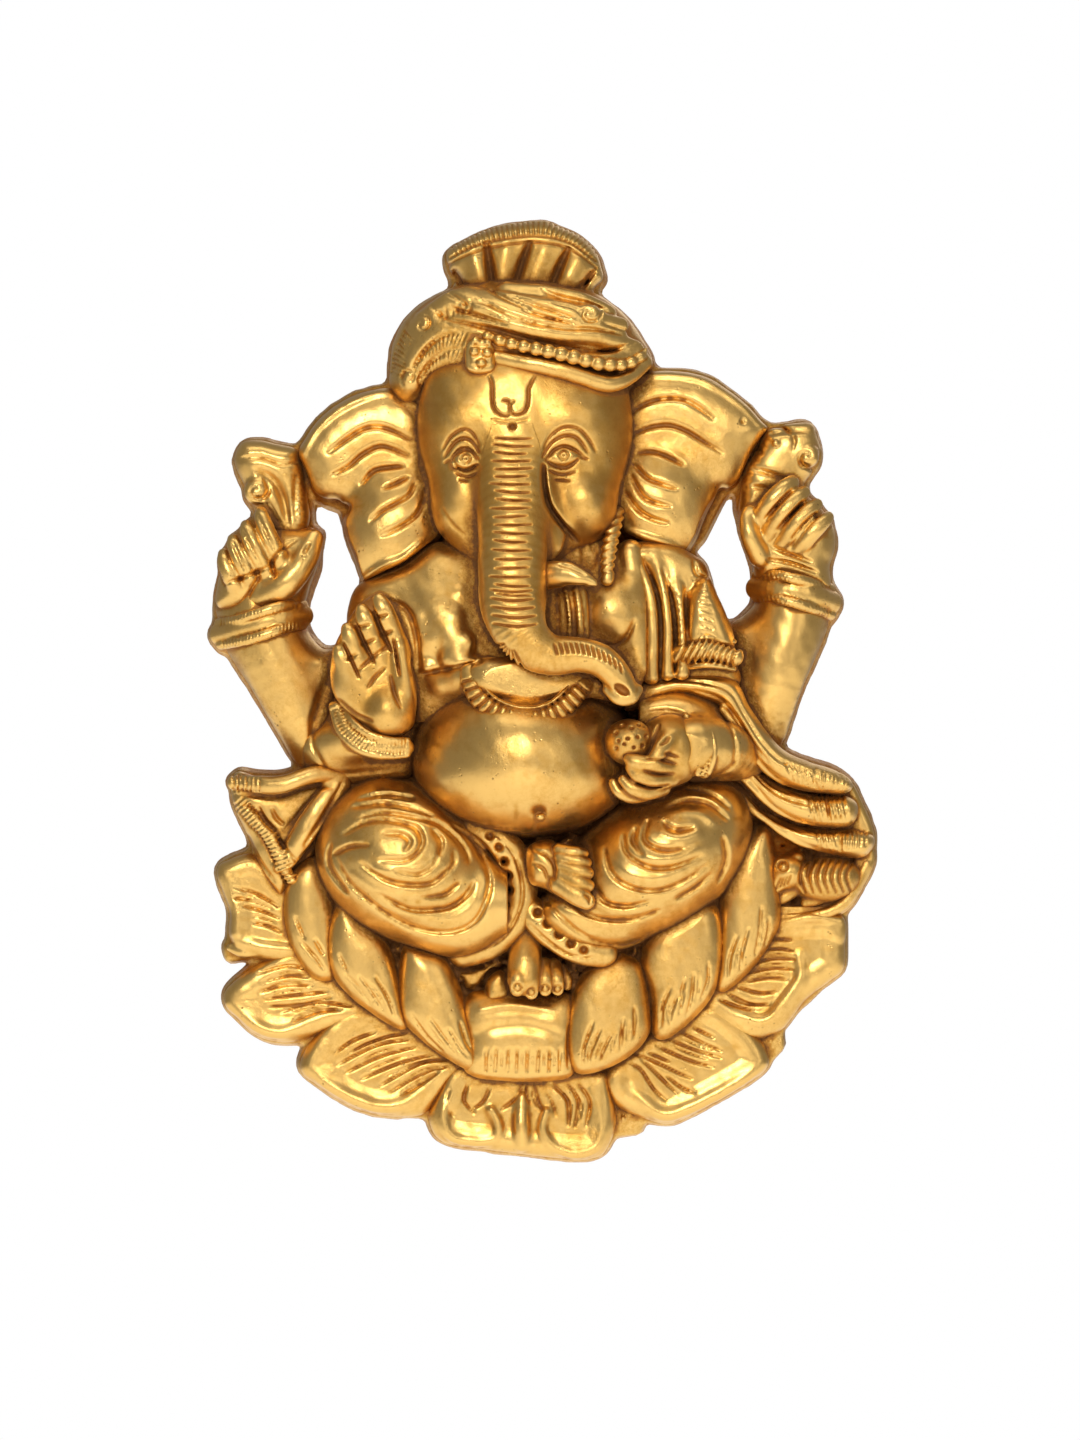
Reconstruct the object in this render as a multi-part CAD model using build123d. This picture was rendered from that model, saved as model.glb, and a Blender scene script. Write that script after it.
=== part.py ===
from build123d import *
import os

# Ganesha wall plaque, a hollow-backed brass casting with a hanging ring on its back.
# All members are drawn in bench coordinates: x across, z up from the lowest petal, and a depth
# measured from the wall towards the viewer. On export they move down by HANG_HEIGHT, so that the
# origin is the point where the swung-up ring bears on a wall nail, in the plane of the wall.

# Driving dimensions, mm
HANG_HEIGHT = 205.0      # wall nail above the lowest petal
GROUND_BACK = 5.0        # depth where the hollow behind the ground plate ends
GROUND_FRONT = 8.0       # depth of the ground plate's front face
WALL = 3.5               # casting wall
DRAFT = 10.0             # degrees that the members' sides lean in
CORNER = 1.6             # smallest corner radius of a member's outline
THROUGH = 60.0           # deeper than the whole relief
CRUMB = 0.12             # a cut-off bit smaller than this share of the largest one is dropped

# Hanger, mm
HINGE_HEIGHT = 190.0
HINGE_DEPTH = 3.9
RING_WIRE_R = 1.0
RING_HALF_WIDTH = 8.0
RING_SIDE = 8.0          # straight length of each side of the D
STRAP_WIDTH = 10.0
STRAP_THICK = 0.8
STRAP_LOOP_R = RING_WIRE_R + 0.1
STRAP_END = 177.6        # lower end of the strap, clear of the ring's bow
BRIDGE = (-32.0, 22.0, 173.0, 187.5)
SCREW_HEIGHTS = (180.2, 185.2)
SCREW_R = 1.25
SCREW_HEAD_R = 1.9
SCREW_HEAD_THICK = 1.4

members = {}             # front-most first: name -> solid
faces = []               # outlines that the ground plate covers
hollows = []             # cavities open to the back


def at(depth):
    """Plane parallel to the wall, at a depth towards the viewer."""
    return Plane.XZ.offset(depth)


def outline(*points, corner=CORNER):
    return make_face(FilletPolyline(*points, radius=corner, close=True))


def prism(face, back, front, draft=0.0):
    return extrude(at(back) * face, amount=front - back, taper=draft)


def relief(face, front, back=GROUND_FRONT, draft=DRAFT, pocket=False, ground=True):
    """A raised member with drafted sides; a pocket hollows it from behind."""
    if ground:
        faces.append(face)
    if pocket:
        inner = offset(face, amount=-1.6 * WALL)
        hollows.append(prism(inner, 0, front - WALL))
    return prism(face, back, front, draft)


def mound(x, z, across, up, rise, turn=0.0, back=GROUND_FRONT):
    """Half of an ellipsoid on the ground plate."""
    ball = scale(Sphere(1), by=(across, up, rise))
    half = split(ball, bisect_by=Plane.XY, keep=Keep.TOP)
    return at(back) * Pos(x, z) * Rot(0, 0, turn) * half


def shell(x, z, across, up, rise, turn=0.0):
    """A mound that is hollow from behind."""
    face = Pos(x, z) * Rot(0, 0, turn) * Ellipse(across, up)
    inner = Pos(x, z) * Rot(0, 0, turn) * Ellipse(across - WALL, up - WALL)
    faces.append(face)
    cavity = mound(x, z, across - WALL, up - WALL, rise - WALL, turn)
    hollows.append(cavity + prism(inner, 0, GROUND_FRONT))
    return mound(x, z, across, up, rise, turn)


def stick(start, end, radius):
    """Outline of a finger: a slot between two points of the wall plane."""
    run = Vector(*end) - Vector(*start)
    middle = (Vector(*end) + Vector(*start)) / 2
    angle = Vector(1, 0).get_signed_angle(run, Vector(0, 0, 1))
    return Pos(middle.X, middle.Y) * Rot(0, 0, angle) * SlotCenterToCenter(run.length, 2 * radius)


def limb(*stations):
    """Round tapering member through stations of x, z, depth and radius."""
    points = [Vector(x, -depth, z) for x, z, depth, _ in stations]
    before = [points[0]] + points[:-1]
    after = points[1:] + [points[-1]]
    sections = [
        Plane(origin=point, z_dir=(b - a).normalized()) * Circle(station[3])
        for point, a, b, station in zip(points, before, after, stations)
    ]
    return loft(sections)


def meets(a, b):
    """Whether two solids' boxes touch."""
    p, q = a.bounding_box(), b.bounding_box()
    low = (max(p.min.X, q.min.X), max(p.min.Y, q.min.Y), max(p.min.Z, q.min.Z))
    high = (min(p.max.X, q.max.X), min(p.max.Y, q.max.Y), min(p.max.Z, q.max.Z))
    return all(l < h for l, h in zip(low, high))


def cut(shape, tools):
    """Take the tools away from a shape and drop the crumbs that this leaves."""
    for tool in tools:
        if meets(shape, tool):
            shape = shape - tool
    largest = max(solid.volume for solid in shape.solids())
    solids = [solid for solid in shape.solids() if solid.volume > CRUMB * largest]
    return Compound(children=solids) if len(solids) > 1 else solids[0]


# ---------------------------------------------------------------- trunk, tusk and face
def make_face_members():
    members["tusk"] = limb((1, 158, 42, 2.6), (7, 156, 44, 2.2), (12.5, 153.8, 45, 1.0))
    members["trunk"] = limb(
        (-8.7, 198, 31, 3.5), (-8.8, 189, 36, 6.6), (-8.8, 178, 39, 9.0), (-8.7, 165, 40.5, 9.7),
        (-8.7, 153, 41, 9.4), (-7.2, 143, 41.5, 8.2), (-1.5, 136.6, 42.5, 6.2), (7, 135.6, 43.5, 5.0),
        (14.5, 134.5, 44, 4.4), (19.5, 130.5, 44, 4.0), (22, 125.5, 43.5, 3.6),
    )
    faces.append(outline((-31, 188), (-28, 168), (19, 168), (19, 203), (0, 214), (-28, 211)))


def make_turban():
    beads = Spline((-17.5, 224), (-8, 221), (2, 217.5), (12, 215.5), (21, 213.5))
    spots = [beads @ (i / 11) for i in range(12)]
    string = [Pos(p.X, -37.4, p.Y) * Sphere(1.6) for p in spots]
    members["turban_beads"] = Compound(children=string)
    members["turban_brooch"] = relief(
        outline((-20.5, 213), (-20, 219.5), (-13.5, 219.5), (-13, 213), corner=1), 41, back=30, ground=False)
    wrap = outline((-41.5, 209), (-39, 220), (-33, 231), (-23.5, 235.5), (13, 234), (23, 226.5),
                   (28.8, 216), (20, 209.5), (0, 214.5), (-13, 216.5), (-23, 211), (-36, 206))
    members["turban_wrap"] = relief(wrap, 37, draft=0, pocket=True)
    plume = outline((-22.5, 233), (-26.6, 245), (-14, 253), (0, 254.6), (10, 250.5), (15.6, 240), (12, 231.5))
    members["turban_plume"] = relief(plume, 25, draft=12)
    hollows.append(prism(outline((-28, 214), (-22, 228), (-14, 244), (6, 245), (12, 226), (16, 216)), 0, 20))


# ---------------------------------------------------------------- front arms
def make_blessing_arm():
    palm = outline((-57.5, 131), (-55.5, 121), (-47, 115), (-40, 114.5), (-35.5, 120), (-35.5, 131),
                   (-40, 143), (-53, 140), corner=2)
    fingers = [stick((-44.2, 150.2), (-40.5, 141), 2.5), stick((-48.6, 147), (-44.5, 138), 2.6),
               stick((-52.4, 142.5), (-48.5, 134), 2.5), stick((-55, 137), (-52, 129), 2.1)]
    thumb = stick((-38.2, 140), (-37.6, 131), 2.4)
    hand = prism(palm, 24, 33)
    for finger in fingers:
        hand += prism(finger, 24, 35)
    members["blessing_hand"] = hand + prism(thumb, 24, 37)
    cuff = outline((-57, 122), (-53, 113), (-45, 109), (-37.5, 109), (-37.5, 114), (-46, 115), (-53, 122.5),
                   corner=1.2)
    members["blessing_cuff"] = relief(cuff, 35, back=20, draft=0, ground=False)
    forearm = outline((-64.5, 108), (-57, 125), (-55.5, 138), (-36, 138), (-34, 118), (-37, 104), (-56, 103.5))
    members["blessing_forearm"] = relief(forearm, 27, pocket=True)


def make_sweet_arm():
    members["sweet_bowl"] = mound(22.3, 113.5, 6.6, 6.8, 9.5, turn=-15, back=36)
    hand = prism(outline((18, 103), (22, 98.5), (33, 99.5), (41, 103.5), (41.5, 115), (35, 120.5), (27, 118),
                         (26, 110)), 20, 41, draft=8)
    for reach in range(3):
        knuckle = (32.5 - 4.2 * reach, 105.5 - 1.4 * reach)
        tip = (27.5 - 3.2 * reach, 101.5 - 0.4 * reach)
        hand += prism(stick(knuckle, tip, 2.0), 34, 44)
    members["sweet_hand"] = hand
    bracelet = outline((37.5, 121), (42.5, 118.5), (45.2, 111), (43.5, 104), (39.5, 104.5), (41, 112),
                       (39, 118), corner=0.8)
    members["sweet_bracelet"] = relief(bracelet, 39, back=20, draft=0, ground=False)
    forearm = outline((30, 121.8), (30, 104.2), (44, 103), (51, 104), (54.9, 110.3), (47.9, 122.4), (38, 123.6))
    members["sweet_forearm"] = relief(forearm, 34, draft=0)


# ---------------------------------------------------------------- trunk of the body
def make_body():
    necklace = outline((-21, 131), (-17, 122), (-9, 117), (0, 117.4), (7, 121), (11, 129), (6, 129.5),
                       (3, 125.5), (-2, 123.2), (-9, 123.4), (-14, 127.5), (-16, 131.5), corner=1.2)
    members["necklace"] = prism(necklace, 31, 43)
    members["belly"] = shell(-5.5, 108.5, 32, 22.5, 39)
    armlet = outline((36.5, 134), (37, 140.5), (50.5, 140.5), (50.5, 133.5))
    members["rope_armlet"] = relief(armlet, 34, back=24, ground=False)
    drape = outline((21, 129), (21, 166), (34, 167), (43.5, 162), (45.5, 155), (50.5, 143), (50.5, 129))
    members["chest_drape"] = relief(drape, 30, pocket=True)
    chest = outline((-36, 124), (-52.5, 139), (-49.5, 157), (-31, 169), (21, 169), (23, 129), (0, 121))
    members["chest"] = relief(chest, 33, pocket=True)


def make_legs():
    members["foot_folded"] = relief(
        outline((-5, 84.5), (1.5, 87), (7, 83.5), (13.6, 83.5), (14, 70), (9.5, 69), (0, 73.5), (-4.5, 76.5)),
        38, back=22)
    left_hem = outline((-24, 94), (-12, 89), (-6, 80), (-6, 70), (-12, 62), (-22, 56.5), (-38, 58.5),
                       (-33, 66), (-20, 66), (-15, 76), (-18, 86), corner=2)
    members["hem_left"] = relief(left_hem, 27, draft=0)
    right_hem = outline((-5, 66), (4, 57), (13, 53.5), (20, 57.5), (12, 62), (4, 69), (-1.5, 73.5))
    members["hem_right"] = relief(right_hem, 27, draft=8)
    members["thigh_left"] = shell(-37.5, 80.5, 24.5, 22.5, 30, turn=-25)
    members["thigh_right"] = shell(28.5, 81, 30, 20.5, 30, turn=32)
    leg = outline((-9.5, 63), (-14.5, 52), (-15.5, 48), (-8, 43.5), (5.5, 44), (6.5, 50), (1, 56), (-0.5, 63.5))
    members["foot_hanging"] = relief(leg, 29)


# ---------------------------------------------------------------- head and ears
def make_head():
    members["earring_rope"] = limb((19.4, 174, 24, 1.9), (17.2, 165.5, 29, 2.1), (16.8, 157, 31, 1.9))
    members["head"] = shell(-6, 189.5, 25, 26.5, 31)
    left = outline((-29, 205), (-38, 209), (-46, 210), (-57, 205), (-66, 196), (-68, 191.5), (-65, 183),
                   (-60.5, 178), (-53.8, 176), (-54, 166), (-49, 156), (-36, 162), (-28.5, 170))
    members["ear_left"] = relief(left, 20, pocket=True)
    right = outline((17, 206), (22, 212.5), (31, 215), (46, 212), (56, 204.5), (61.5, 198), (55, 186),
                    (49, 180), (43, 168), (36, 163), (24, 168), (17.5, 175))
    members["ear_right"] = relief(right, 20, pocket=True)


# ---------------------------------------------------------------- rear arms, hands and emblems
def make_left_rear_arm():
    fingers = [stick((-86.6, 162), (-84.5, 157), 2.0), stick((-83.7, 166.2), (-80.5, 160), 2.2),
               stick((-80, 169.6), (-76.5, 163), 2.4), stick((-76.2, 173.2), (-72.5, 165.5), 2.5)]
    palm = outline((-88.6, 151), (-88.5, 159), (-77, 170), (-67, 171.5), (-61, 167.5), (-64.2, 155), (-65.5, 150.5))
    faces.append(palm)
    hand = prism(palm, GROUND_FRONT, 22, DRAFT)
    for finger in fingers:
        faces.append(finger)
        hand += prism(finger, GROUND_FRONT, 26)
    members["rear_hand_left"] = hand
    emblem = outline((-68, 193), (-78, 195.3), (-84.4, 193), (-84, 186), (-79.5, 177), (-74, 170), (-65, 168),
                     (-64.5, 179), (-66, 188))
    members["emblem_left"] = relief(emblem, 19)
    upper = outline((-89, 145.6), (-88.8, 150.5), (-66, 152.5), (-65.8, 148.5), corner=1)
    lower = outline((-88, 139.5), (-88.9, 143.6), (-66, 147), (-65.8, 143.4), corner=1)
    members["bangles_left"] = relief(upper, 26, draft=0) + relief(lower, 26, draft=0)
    arm = outline((-57, 104), (-67, 107.5), (-80, 128), (-87.3, 139.5), (-88.6, 150), (-66, 151.5),
                  (-65.3, 144.5), (-60.5, 139), (-55, 139.5), (-56, 124), (-61, 112))
    members["rear_arm_left"] = relief(arm, 22, draft=0, pocket=True)


def make_right_rear_arm():
    fingers = [stick((60.5, 178), (66, 183), 2.5), stick((63.5, 174.8), (69.5, 180), 2.4),
               stick((67.5, 172.2), (73, 177), 2.3), stick((72, 170), (76, 173), 2.2)]
    fist = outline((53.8, 177), (53.8, 170), (57.2, 160), (57.6, 156.5), (77.3, 155.5), (78.7, 167), (75, 174),
                   (69, 180), (60, 181))
    faces.append(fist)
    hand = prism(fist, GROUND_FRONT, 22, 6)
    for finger in fingers:
        hand += prism(finger, 18, 27)
    members["rear_hand_right"] = hand
    emblem = outline((53.2, 176), (53.5, 184), (56.5, 192), (60.5, 198.5), (72.5, 199.8), (74.8, 192),
                     (71.5, 184), (69.5, 180), (58, 173))
    members["emblem_right"] = relief(emblem, 19)
    upper = outline((57.5, 155.4), (57.8, 159.4), (77.6, 157), (77.8, 152.6), corner=1)
    lower = outline((57.5, 150.4), (57.5, 154), (77.8, 151), (77.6, 147), corner=1)
    members["bangles_right"] = relief(upper, 26, draft=0) + relief(lower, 26, draft=0)
    arm = outline((49.5, 130), (49.5, 145), (53, 146), (56.6, 151), (57, 158), (77.4, 156.4), (77.3, 146.4),
                  (70.5, 129), (63.5, 109), (55, 112))
    members["rear_arm_right"] = relief(arm, 22, draft=0, pocket=True)


# ---------------------------------------------------------------- shawls
def make_shawls():
    top = outline((22.6, 122.8), (25, 129.5), (36, 132.5), (49.5, 130.5), (60, 115.5), (65, 111), (79, 106),
                  (85, 101), (86.5, 97), (77, 98), (66, 100.6), (57, 107), (48, 120.6), (37.4, 122.2), corner=1.2)
    middle = outline((51, 107), (54.5, 112), (60, 105), (68, 101.5), (86, 98.5), (88.8, 91), (72, 91.5), (60, 96))
    low = outline((48.5, 103), (52, 107), (60.5, 97), (72, 92), (88.6, 92.5), (89.6, 86), (88.8, 82), (71, 84.5),
                  (58, 91))
    members["shawl_right"] = relief(top, 32, draft=0) + relief(middle, 27, draft=0) + relief(low, 23, draft=0)
    sash = outline((-57, 104), (-36, 105), (-50, 100), (-60, 88), (-67.5, 81.5), (-71, 89), (-61, 103))
    tail = outline((-64.5, 107), (-72, 104.2), (-84, 105.4), (-85.4, 100), (-82, 90), (-79.5, 82), (-76, 75.5),
                   (-71.5, 71), (-66.8, 82), (-59, 90), (-57, 104))
    members["shawl_left"] = relief(sash, 24) + relief(tail, 19, draft=6)


# ---------------------------------------------------------------- mouse
def make_mouse():
    body = mound(75, 75.8, 9.6, 5.4, 13)
    head = mound(64.6, 79.2, 4.4, 4.6, 11)
    members["mouse"] = body + head + mound(68.5, 76.5, 5.5, 4.5, 11)
    ledge = outline((61, 84), (88.8, 84), (89.3, 80), (83, 67.5), (74, 64.5), (62, 62))
    members["mouse_ledge"] = relief(ledge, 13, draft=4)


# ---------------------------------------------------------------- lotus
def make_lotus():
    inner = {
        "centre": ((-19.3, 25), (-20.5, 38), (-16, 44), (2, 44.5), (6, 38), (5.5, 25)),
        "left_1": ((-29, 29), (-38.5, 38), (-38.8, 49), (-37.6, 58), (-29, 55.5), (-23, 42), (-20.4, 30)),
        "right_1": ((9.8, 26), (7, 32), (9.2, 46), (20, 56), (25, 54), (27, 42), (25.5, 33), (20, 28)),
        "left_2": ((-43, 39), (-55, 49), (-57.6, 60), (-55.5, 71), (-45, 60.5), (-40, 48), (-39, 38)),
        "right_2": ((30.8, 34), (29, 46), (29, 60), (40, 71), (46, 68), (47.2, 55), (44, 44), (37.5, 37)),
        "left_3": ((-61, 52), (-67, 57.5), (-69.6, 67), (-68.4, 75), (-62.3, 82), (-58, 71), (-57.2, 55)),
        "right_3": ((47.8, 47), (48, 70), (50.5, 81), (59.5, 91), (61.8, 80), (62.8, 64), (55, 51)),
    }
    for name, points in inner.items():
        members["petal_inner_" + name] = relief(outline(*points, corner=1.2), 24, pocket=True)
    outer = {
        "centre": ((-21, 24), (-29.2, 11.5), (-27, 5), (-5.8, 1), (12.5, 0), (16.5, 3), (17.4, 11), (11, 23)),
        "left_1": ((-26, 26), (-31, 16.5), (-39, 11.8), (-53, 14.4), (-66.5, 24.5), (-58, 31), (-43, 37), (-30, 30)),
        "left_2": ((-43, 39), (-60, 33.5), (-72, 31.6), (-79, 34), (-87.4, 42), (-84, 47), (-74, 52), (-62, 53)),
        "left_3": ((-62, 54), (-73, 56), (-87, 53), (-88, 58), (-85.5, 61), (-85.6, 67), (-89, 78), (-79.8, 81.3),
                   (-69, 74)),
        "right_1": ((19, 25), (24, 16), (31, 9.6), (36, 9.8), (47, 15.8), (60.8, 25.6), (57, 31), (38, 38),
                    (24, 30)),
        "right_2": ((42, 40), (52, 36), (60, 25), (65.4, 30), (64.5, 35.5), (81.4, 51.5), (81.4, 64), (64, 62),
                    (50, 50)),
    }
    for name, points in outer.items():
        members["petal_outer_" + name] = relief(outline(*points, corner=0.9), 14)
    faces.append(outline((-62, 60), (-56, 40), (-25, 12), (-33, 7.5), (0, 4), (27, 6.5), (26, 14), (50, 40),
                         (60, 60), (63, 84), (66, 100), (40, 130), (-40, 130), (-66, 100)))


# ---------------------------------------------------------------- ground plate
def ground_plate():
    """Thin ground behind every member, with a rim that rests on the wall."""
    ground = faces[0]
    for face in faces[1:]:
        ground = ground + face
    plate = prism(ground, 0, GROUND_FRONT)
    upper = outline((-30, 220), (-22, 244), (2, 249), (11, 238), (22, 218), (42, 208), (55, 197), (48, 186),
                    (40, 168), (40, 140), (28, 112), (-30, 112), (-30, 135), (-46, 160), (-48, 178), (-60, 188),
                    (-54, 200), (-40, 204), corner=3)
    lower = outline((-50, 118), (-61, 104), (-80, 100), (-72, 84), (-78, 68), (-78, 40), (-60, 22), (-36, 18),
                    (-24, 9), (10, 6), (24, 16), (48, 24), (58, 38), (74, 52), (74, 70), (82, 82), (80, 96),
                    (62, 104), (46, 120), corner=3)
    left_arm = outline((-66, 113), (-83, 142), (-83, 158), (-71, 166), (-71, 146), (-62, 132), corner=3)
    right_arm = outline((55, 118), (55, 140), (62, 150), (62, 168), (72, 168), (72, 148), (64, 124), corner=3)
    for hollow in (upper, lower, left_arm, right_arm):
        hollows.append(prism(hollow, 0, GROUND_BACK))
    return plate


def through_gaps():
    """The open gaps between each rear arm and the body."""
    left = outline((-60, 172.5), (-55, 173.5), (-52, 164), (-49.8, 158), (-53.5, 146), (-57, 139.5), (-61.5, 139.5),
                   (-65, 145), (-65, 152), (-61.5, 162))
    right = outline((46.3, 174), (50, 177), (52.7, 175.5), (57.2, 160), (57.2, 152), (52, 146), (48.4, 147),
                    (44.2, 162))
    return [prism(face, -1, THROUGH) for face in (left, right)]


# ---------------------------------------------------------------- hanger
def hanger_bridge():
    """Cast bar across the hollow behind the head, which the strap is screwed to."""
    x0, x1, z0, z1 = BRIDGE
    bar = prism(Pos((x0 + x1) / 2, (z0 + z1) / 2) * Rectangle(x1 - x0, z1 - z0), GROUND_BACK, GROUND_FRONT)
    for height in SCREW_HEIGHTS:
        bar -= prism(Pos(0, height) * Circle(SCREW_R), 0, THROUGH)
    return bar


def hanger_strap():
    """Brass strip folded round the ring's straight bar."""
    loop = Circle(STRAP_LOOP_R + STRAP_THICK)
    tail = HINGE_HEIGHT - STRAP_END
    layers = Pos(HINGE_DEPTH - GROUND_BACK + STRAP_THICK, -tail / 2) * Rectangle(2 * STRAP_THICK, tail)
    profile = loop + layers - Circle(STRAP_LOOP_R)
    side = Plane(origin=(-STRAP_WIDTH / 2, -HINGE_DEPTH, HINGE_HEIGHT), x_dir=(0, 1, 0), z_dir=(1, 0, 0))
    strap = extrude(side * profile, amount=STRAP_WIDTH)
    for height in SCREW_HEIGHTS:
        strap -= prism(Pos(0, height) * Circle(SCREW_R), 0, THROUGH)
    return strap


def hanger_screws():
    seat = GROUND_BACK - 2 * STRAP_THICK
    screws = []
    for height in SCREW_HEIGHTS:
        shank = prism(Pos(0, height) * Circle(SCREW_R), seat, GROUND_FRONT)
        head = prism(Pos(0, height) * Circle(SCREW_HEAD_R), seat - SCREW_HEAD_THICK, seat)
        slot = prism(Pos(0, height) * Rectangle(2 * SCREW_HEAD_R, 0.6), 0, seat - SCREW_HEAD_THICK / 2)
        screws.append((shank + head - slot).solid())
    return Compound(children=screws)


def hanging_ring():
    """D-shaped wire ring, stored hanging down from the strap."""
    top = FilletPolyline((-RING_HALF_WIDTH, -RING_SIDE), (-RING_HALF_WIDTH, 0), (RING_HALF_WIDTH, 0),
                         (RING_HALF_WIDTH, -RING_SIDE), radius=2 * RING_WIRE_R)
    bow = ThreePointArc((RING_HALF_WIDTH, -RING_SIDE), (0, -RING_SIDE - RING_HALF_WIDTH),
                        (-RING_HALF_WIDTH, -RING_SIDE))
    path = Wire([*top.edges(), *bow.edges()])
    ring = sweep(Plane(origin=path @ 0, z_dir=path % 0) * Circle(RING_WIRE_R), path=path)
    return at(HINGE_DEPTH) * Pos(0, HINGE_HEIGHT) * ring


def main():
    os.makedirs("parts", exist_ok=True)
    for make in (make_face_members, make_turban, make_blessing_arm, make_sweet_arm, make_body, make_legs,
                 make_head, make_left_rear_arm, make_right_rear_arm, make_shawls, make_mouse, make_lotus):
        make()
    members["back_plate"] = ground_plate()
    gaps = through_gaps()
    done = {}
    for name, shape in members.items():
        done[name] = cut(shape, list(done.values()) + gaps + hollows)
    done["back_plate"] = done["back_plate"] + hanger_bridge()
    done["hanger_strap"] = hanger_strap()
    done["hanger_screws"] = hanger_screws()
    done["hanging_ring"] = hanging_ring()
    for name, shape in done.items():
        export_step(Pos(0, 0, -HANG_HEIGHT) * shape, f"parts/{name}.step")


main()
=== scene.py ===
import math
import bpy
import numpy as np
import openvdb as vdb
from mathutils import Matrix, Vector


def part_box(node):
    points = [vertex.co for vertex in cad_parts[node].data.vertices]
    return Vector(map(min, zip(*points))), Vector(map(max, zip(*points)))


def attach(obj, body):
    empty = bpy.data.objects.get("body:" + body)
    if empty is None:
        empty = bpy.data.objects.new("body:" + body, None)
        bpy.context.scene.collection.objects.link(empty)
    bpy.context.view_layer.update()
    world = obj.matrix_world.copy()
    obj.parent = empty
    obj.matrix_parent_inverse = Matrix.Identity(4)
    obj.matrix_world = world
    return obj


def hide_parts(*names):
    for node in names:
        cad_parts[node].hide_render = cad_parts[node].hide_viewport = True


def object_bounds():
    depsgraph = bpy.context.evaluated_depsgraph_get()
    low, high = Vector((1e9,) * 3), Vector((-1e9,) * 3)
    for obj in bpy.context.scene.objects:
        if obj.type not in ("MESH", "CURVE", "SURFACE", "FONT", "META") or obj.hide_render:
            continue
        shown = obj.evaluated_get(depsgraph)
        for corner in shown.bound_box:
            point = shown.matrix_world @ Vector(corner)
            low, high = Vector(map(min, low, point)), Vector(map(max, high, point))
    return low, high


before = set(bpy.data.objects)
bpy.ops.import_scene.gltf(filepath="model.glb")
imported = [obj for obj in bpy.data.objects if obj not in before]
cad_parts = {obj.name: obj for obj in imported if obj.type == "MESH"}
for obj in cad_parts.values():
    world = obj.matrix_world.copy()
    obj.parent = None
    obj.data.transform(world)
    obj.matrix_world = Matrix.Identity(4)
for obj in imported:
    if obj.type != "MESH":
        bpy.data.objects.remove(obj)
CAD_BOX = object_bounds()

# The casting is sculpted in millimetres as signed distance fields: x across, z up from the lowest
# petal, d out from the wall towards the viewer. Each member becomes one closed mesh.
MM = 0.001
FOOT_Z = CAD_BOX[0][2] / MM
STEP = 0.46      # sculpting grid
GROUND = 8.0                             # front of the ground plate
WALL = 3.0                               # thickness of the casting
BRIDGE_MIDDLE = (-5, 6.5, 180.25)        # bar across the hollow back that carries the hanger
BRIDGE_HALF = (27, 1.5, 7.25)
CAMERA_DISTANCE = 1.3                    # metres
FRAME_HEIGHT = 0.3888                    # metres of object plane in the picture's height
FLOOR_DROP = 0.35                        # metres from the lowest petal down to the floor
FLOOR_HALF = 1.5                         # metres


# ------------------------------------------------------------------ curves and plane shapes
def smooth(points, closed=False, parts=6):
    """Curve through the points (Catmull-Rom); a doubled point stays a corner."""
    p = np.array(points, float)
    if closed:
        padded = np.vstack([p[-1:], p, p[:2]])
    else:
        padded = np.vstack([p[:1], p, p[-1:]])
    t = (np.arange(parts) / parts)[:, None]
    runs = []
    for p0, p1, p2, p3 in zip(padded, padded[1:], padded[2:], padded[3:]):
        if np.allclose(p1, p2):
            continue
        m1, m2 = (p2 - p0) / 2, (p3 - p1) / 2
        runs.append((2 * t**3 - 3 * t**2 + 1) * p1 + (t**3 - 2 * t**2 + t) * m1
                    + (3 * t**2 - 2 * t**3) * p2 + (t**3 - t**2) * m2)
    if not closed:
        runs.append(p[-1:])
    return np.vstack(runs)


def reach(x, z, line):
    """Distance from each (x, z) to a line, and how far along it the nearest point is, 0 to 1."""
    lengths = np.linalg.norm(np.diff(line[:, :2], axis=0), axis=1)
    starts = np.concatenate([[0], np.cumsum(lengths)])
    best = np.full(np.broadcast(x, z).shape, 1e9)
    share = np.zeros_like(best)
    for i, (a, b) in enumerate(zip(line[:-1], line[1:])):
        if lengths[i] < 1e-6:
            continue
        ex, ez = b[0] - a[0], b[1] - a[1]
        t = np.clip(((x - a[0]) * ex + (z - a[1]) * ez) / lengths[i] ** 2, 0, 1)
        gap = (x - a[0] - t * ex) ** 2 + (z - a[1] - t * ez) ** 2
        near = gap < best
        share = np.where(near, (starts[i] + t * lengths[i]) / starts[-1], share)
        best = np.where(near, gap, best)
    return np.sqrt(best), share


def region(b, points, parts=6):
    """Signed distance to a closed smooth outline in the wall plane, negative inside."""
    line = smooth(points, closed=True, parts=parts)
    line = np.vstack([line, line[:1]])
    gap, _ = reach(b.flat_x, b.flat_z, line)
    inside = np.zeros(gap.shape, bool)
    for (ax, az), (bx, bz) in zip(line[:-1], line[1:]):
        if az == bz:
            continue
        crosses = (az > b.flat_z) != (bz > b.flat_z)
        inside ^= crosses & (b.flat_x < (bx - ax) * (b.flat_z - az) / (bz - az) + ax)
    return np.where(inside, -gap, gap).astype(np.float32)


def soften(values, cells):
    """Moving averages along both directions, three times over."""
    n = max(1, int(round(cells)))
    for axis in (0, 1) * 3:
        padded = np.pad(values, [(n + 1, n) if k == axis else (0, 0) for k in (0, 1)], mode="edge")
        total = np.cumsum(padded, axis=axis)
        low, high = ((total[:-2 * n - 1], total[2 * n + 1:]) if axis == 0
                     else (total[:, :-2 * n - 1], total[:, 2 * n + 1:]))
        values = (high - low) / (2 * n + 1)
    return values


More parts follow.
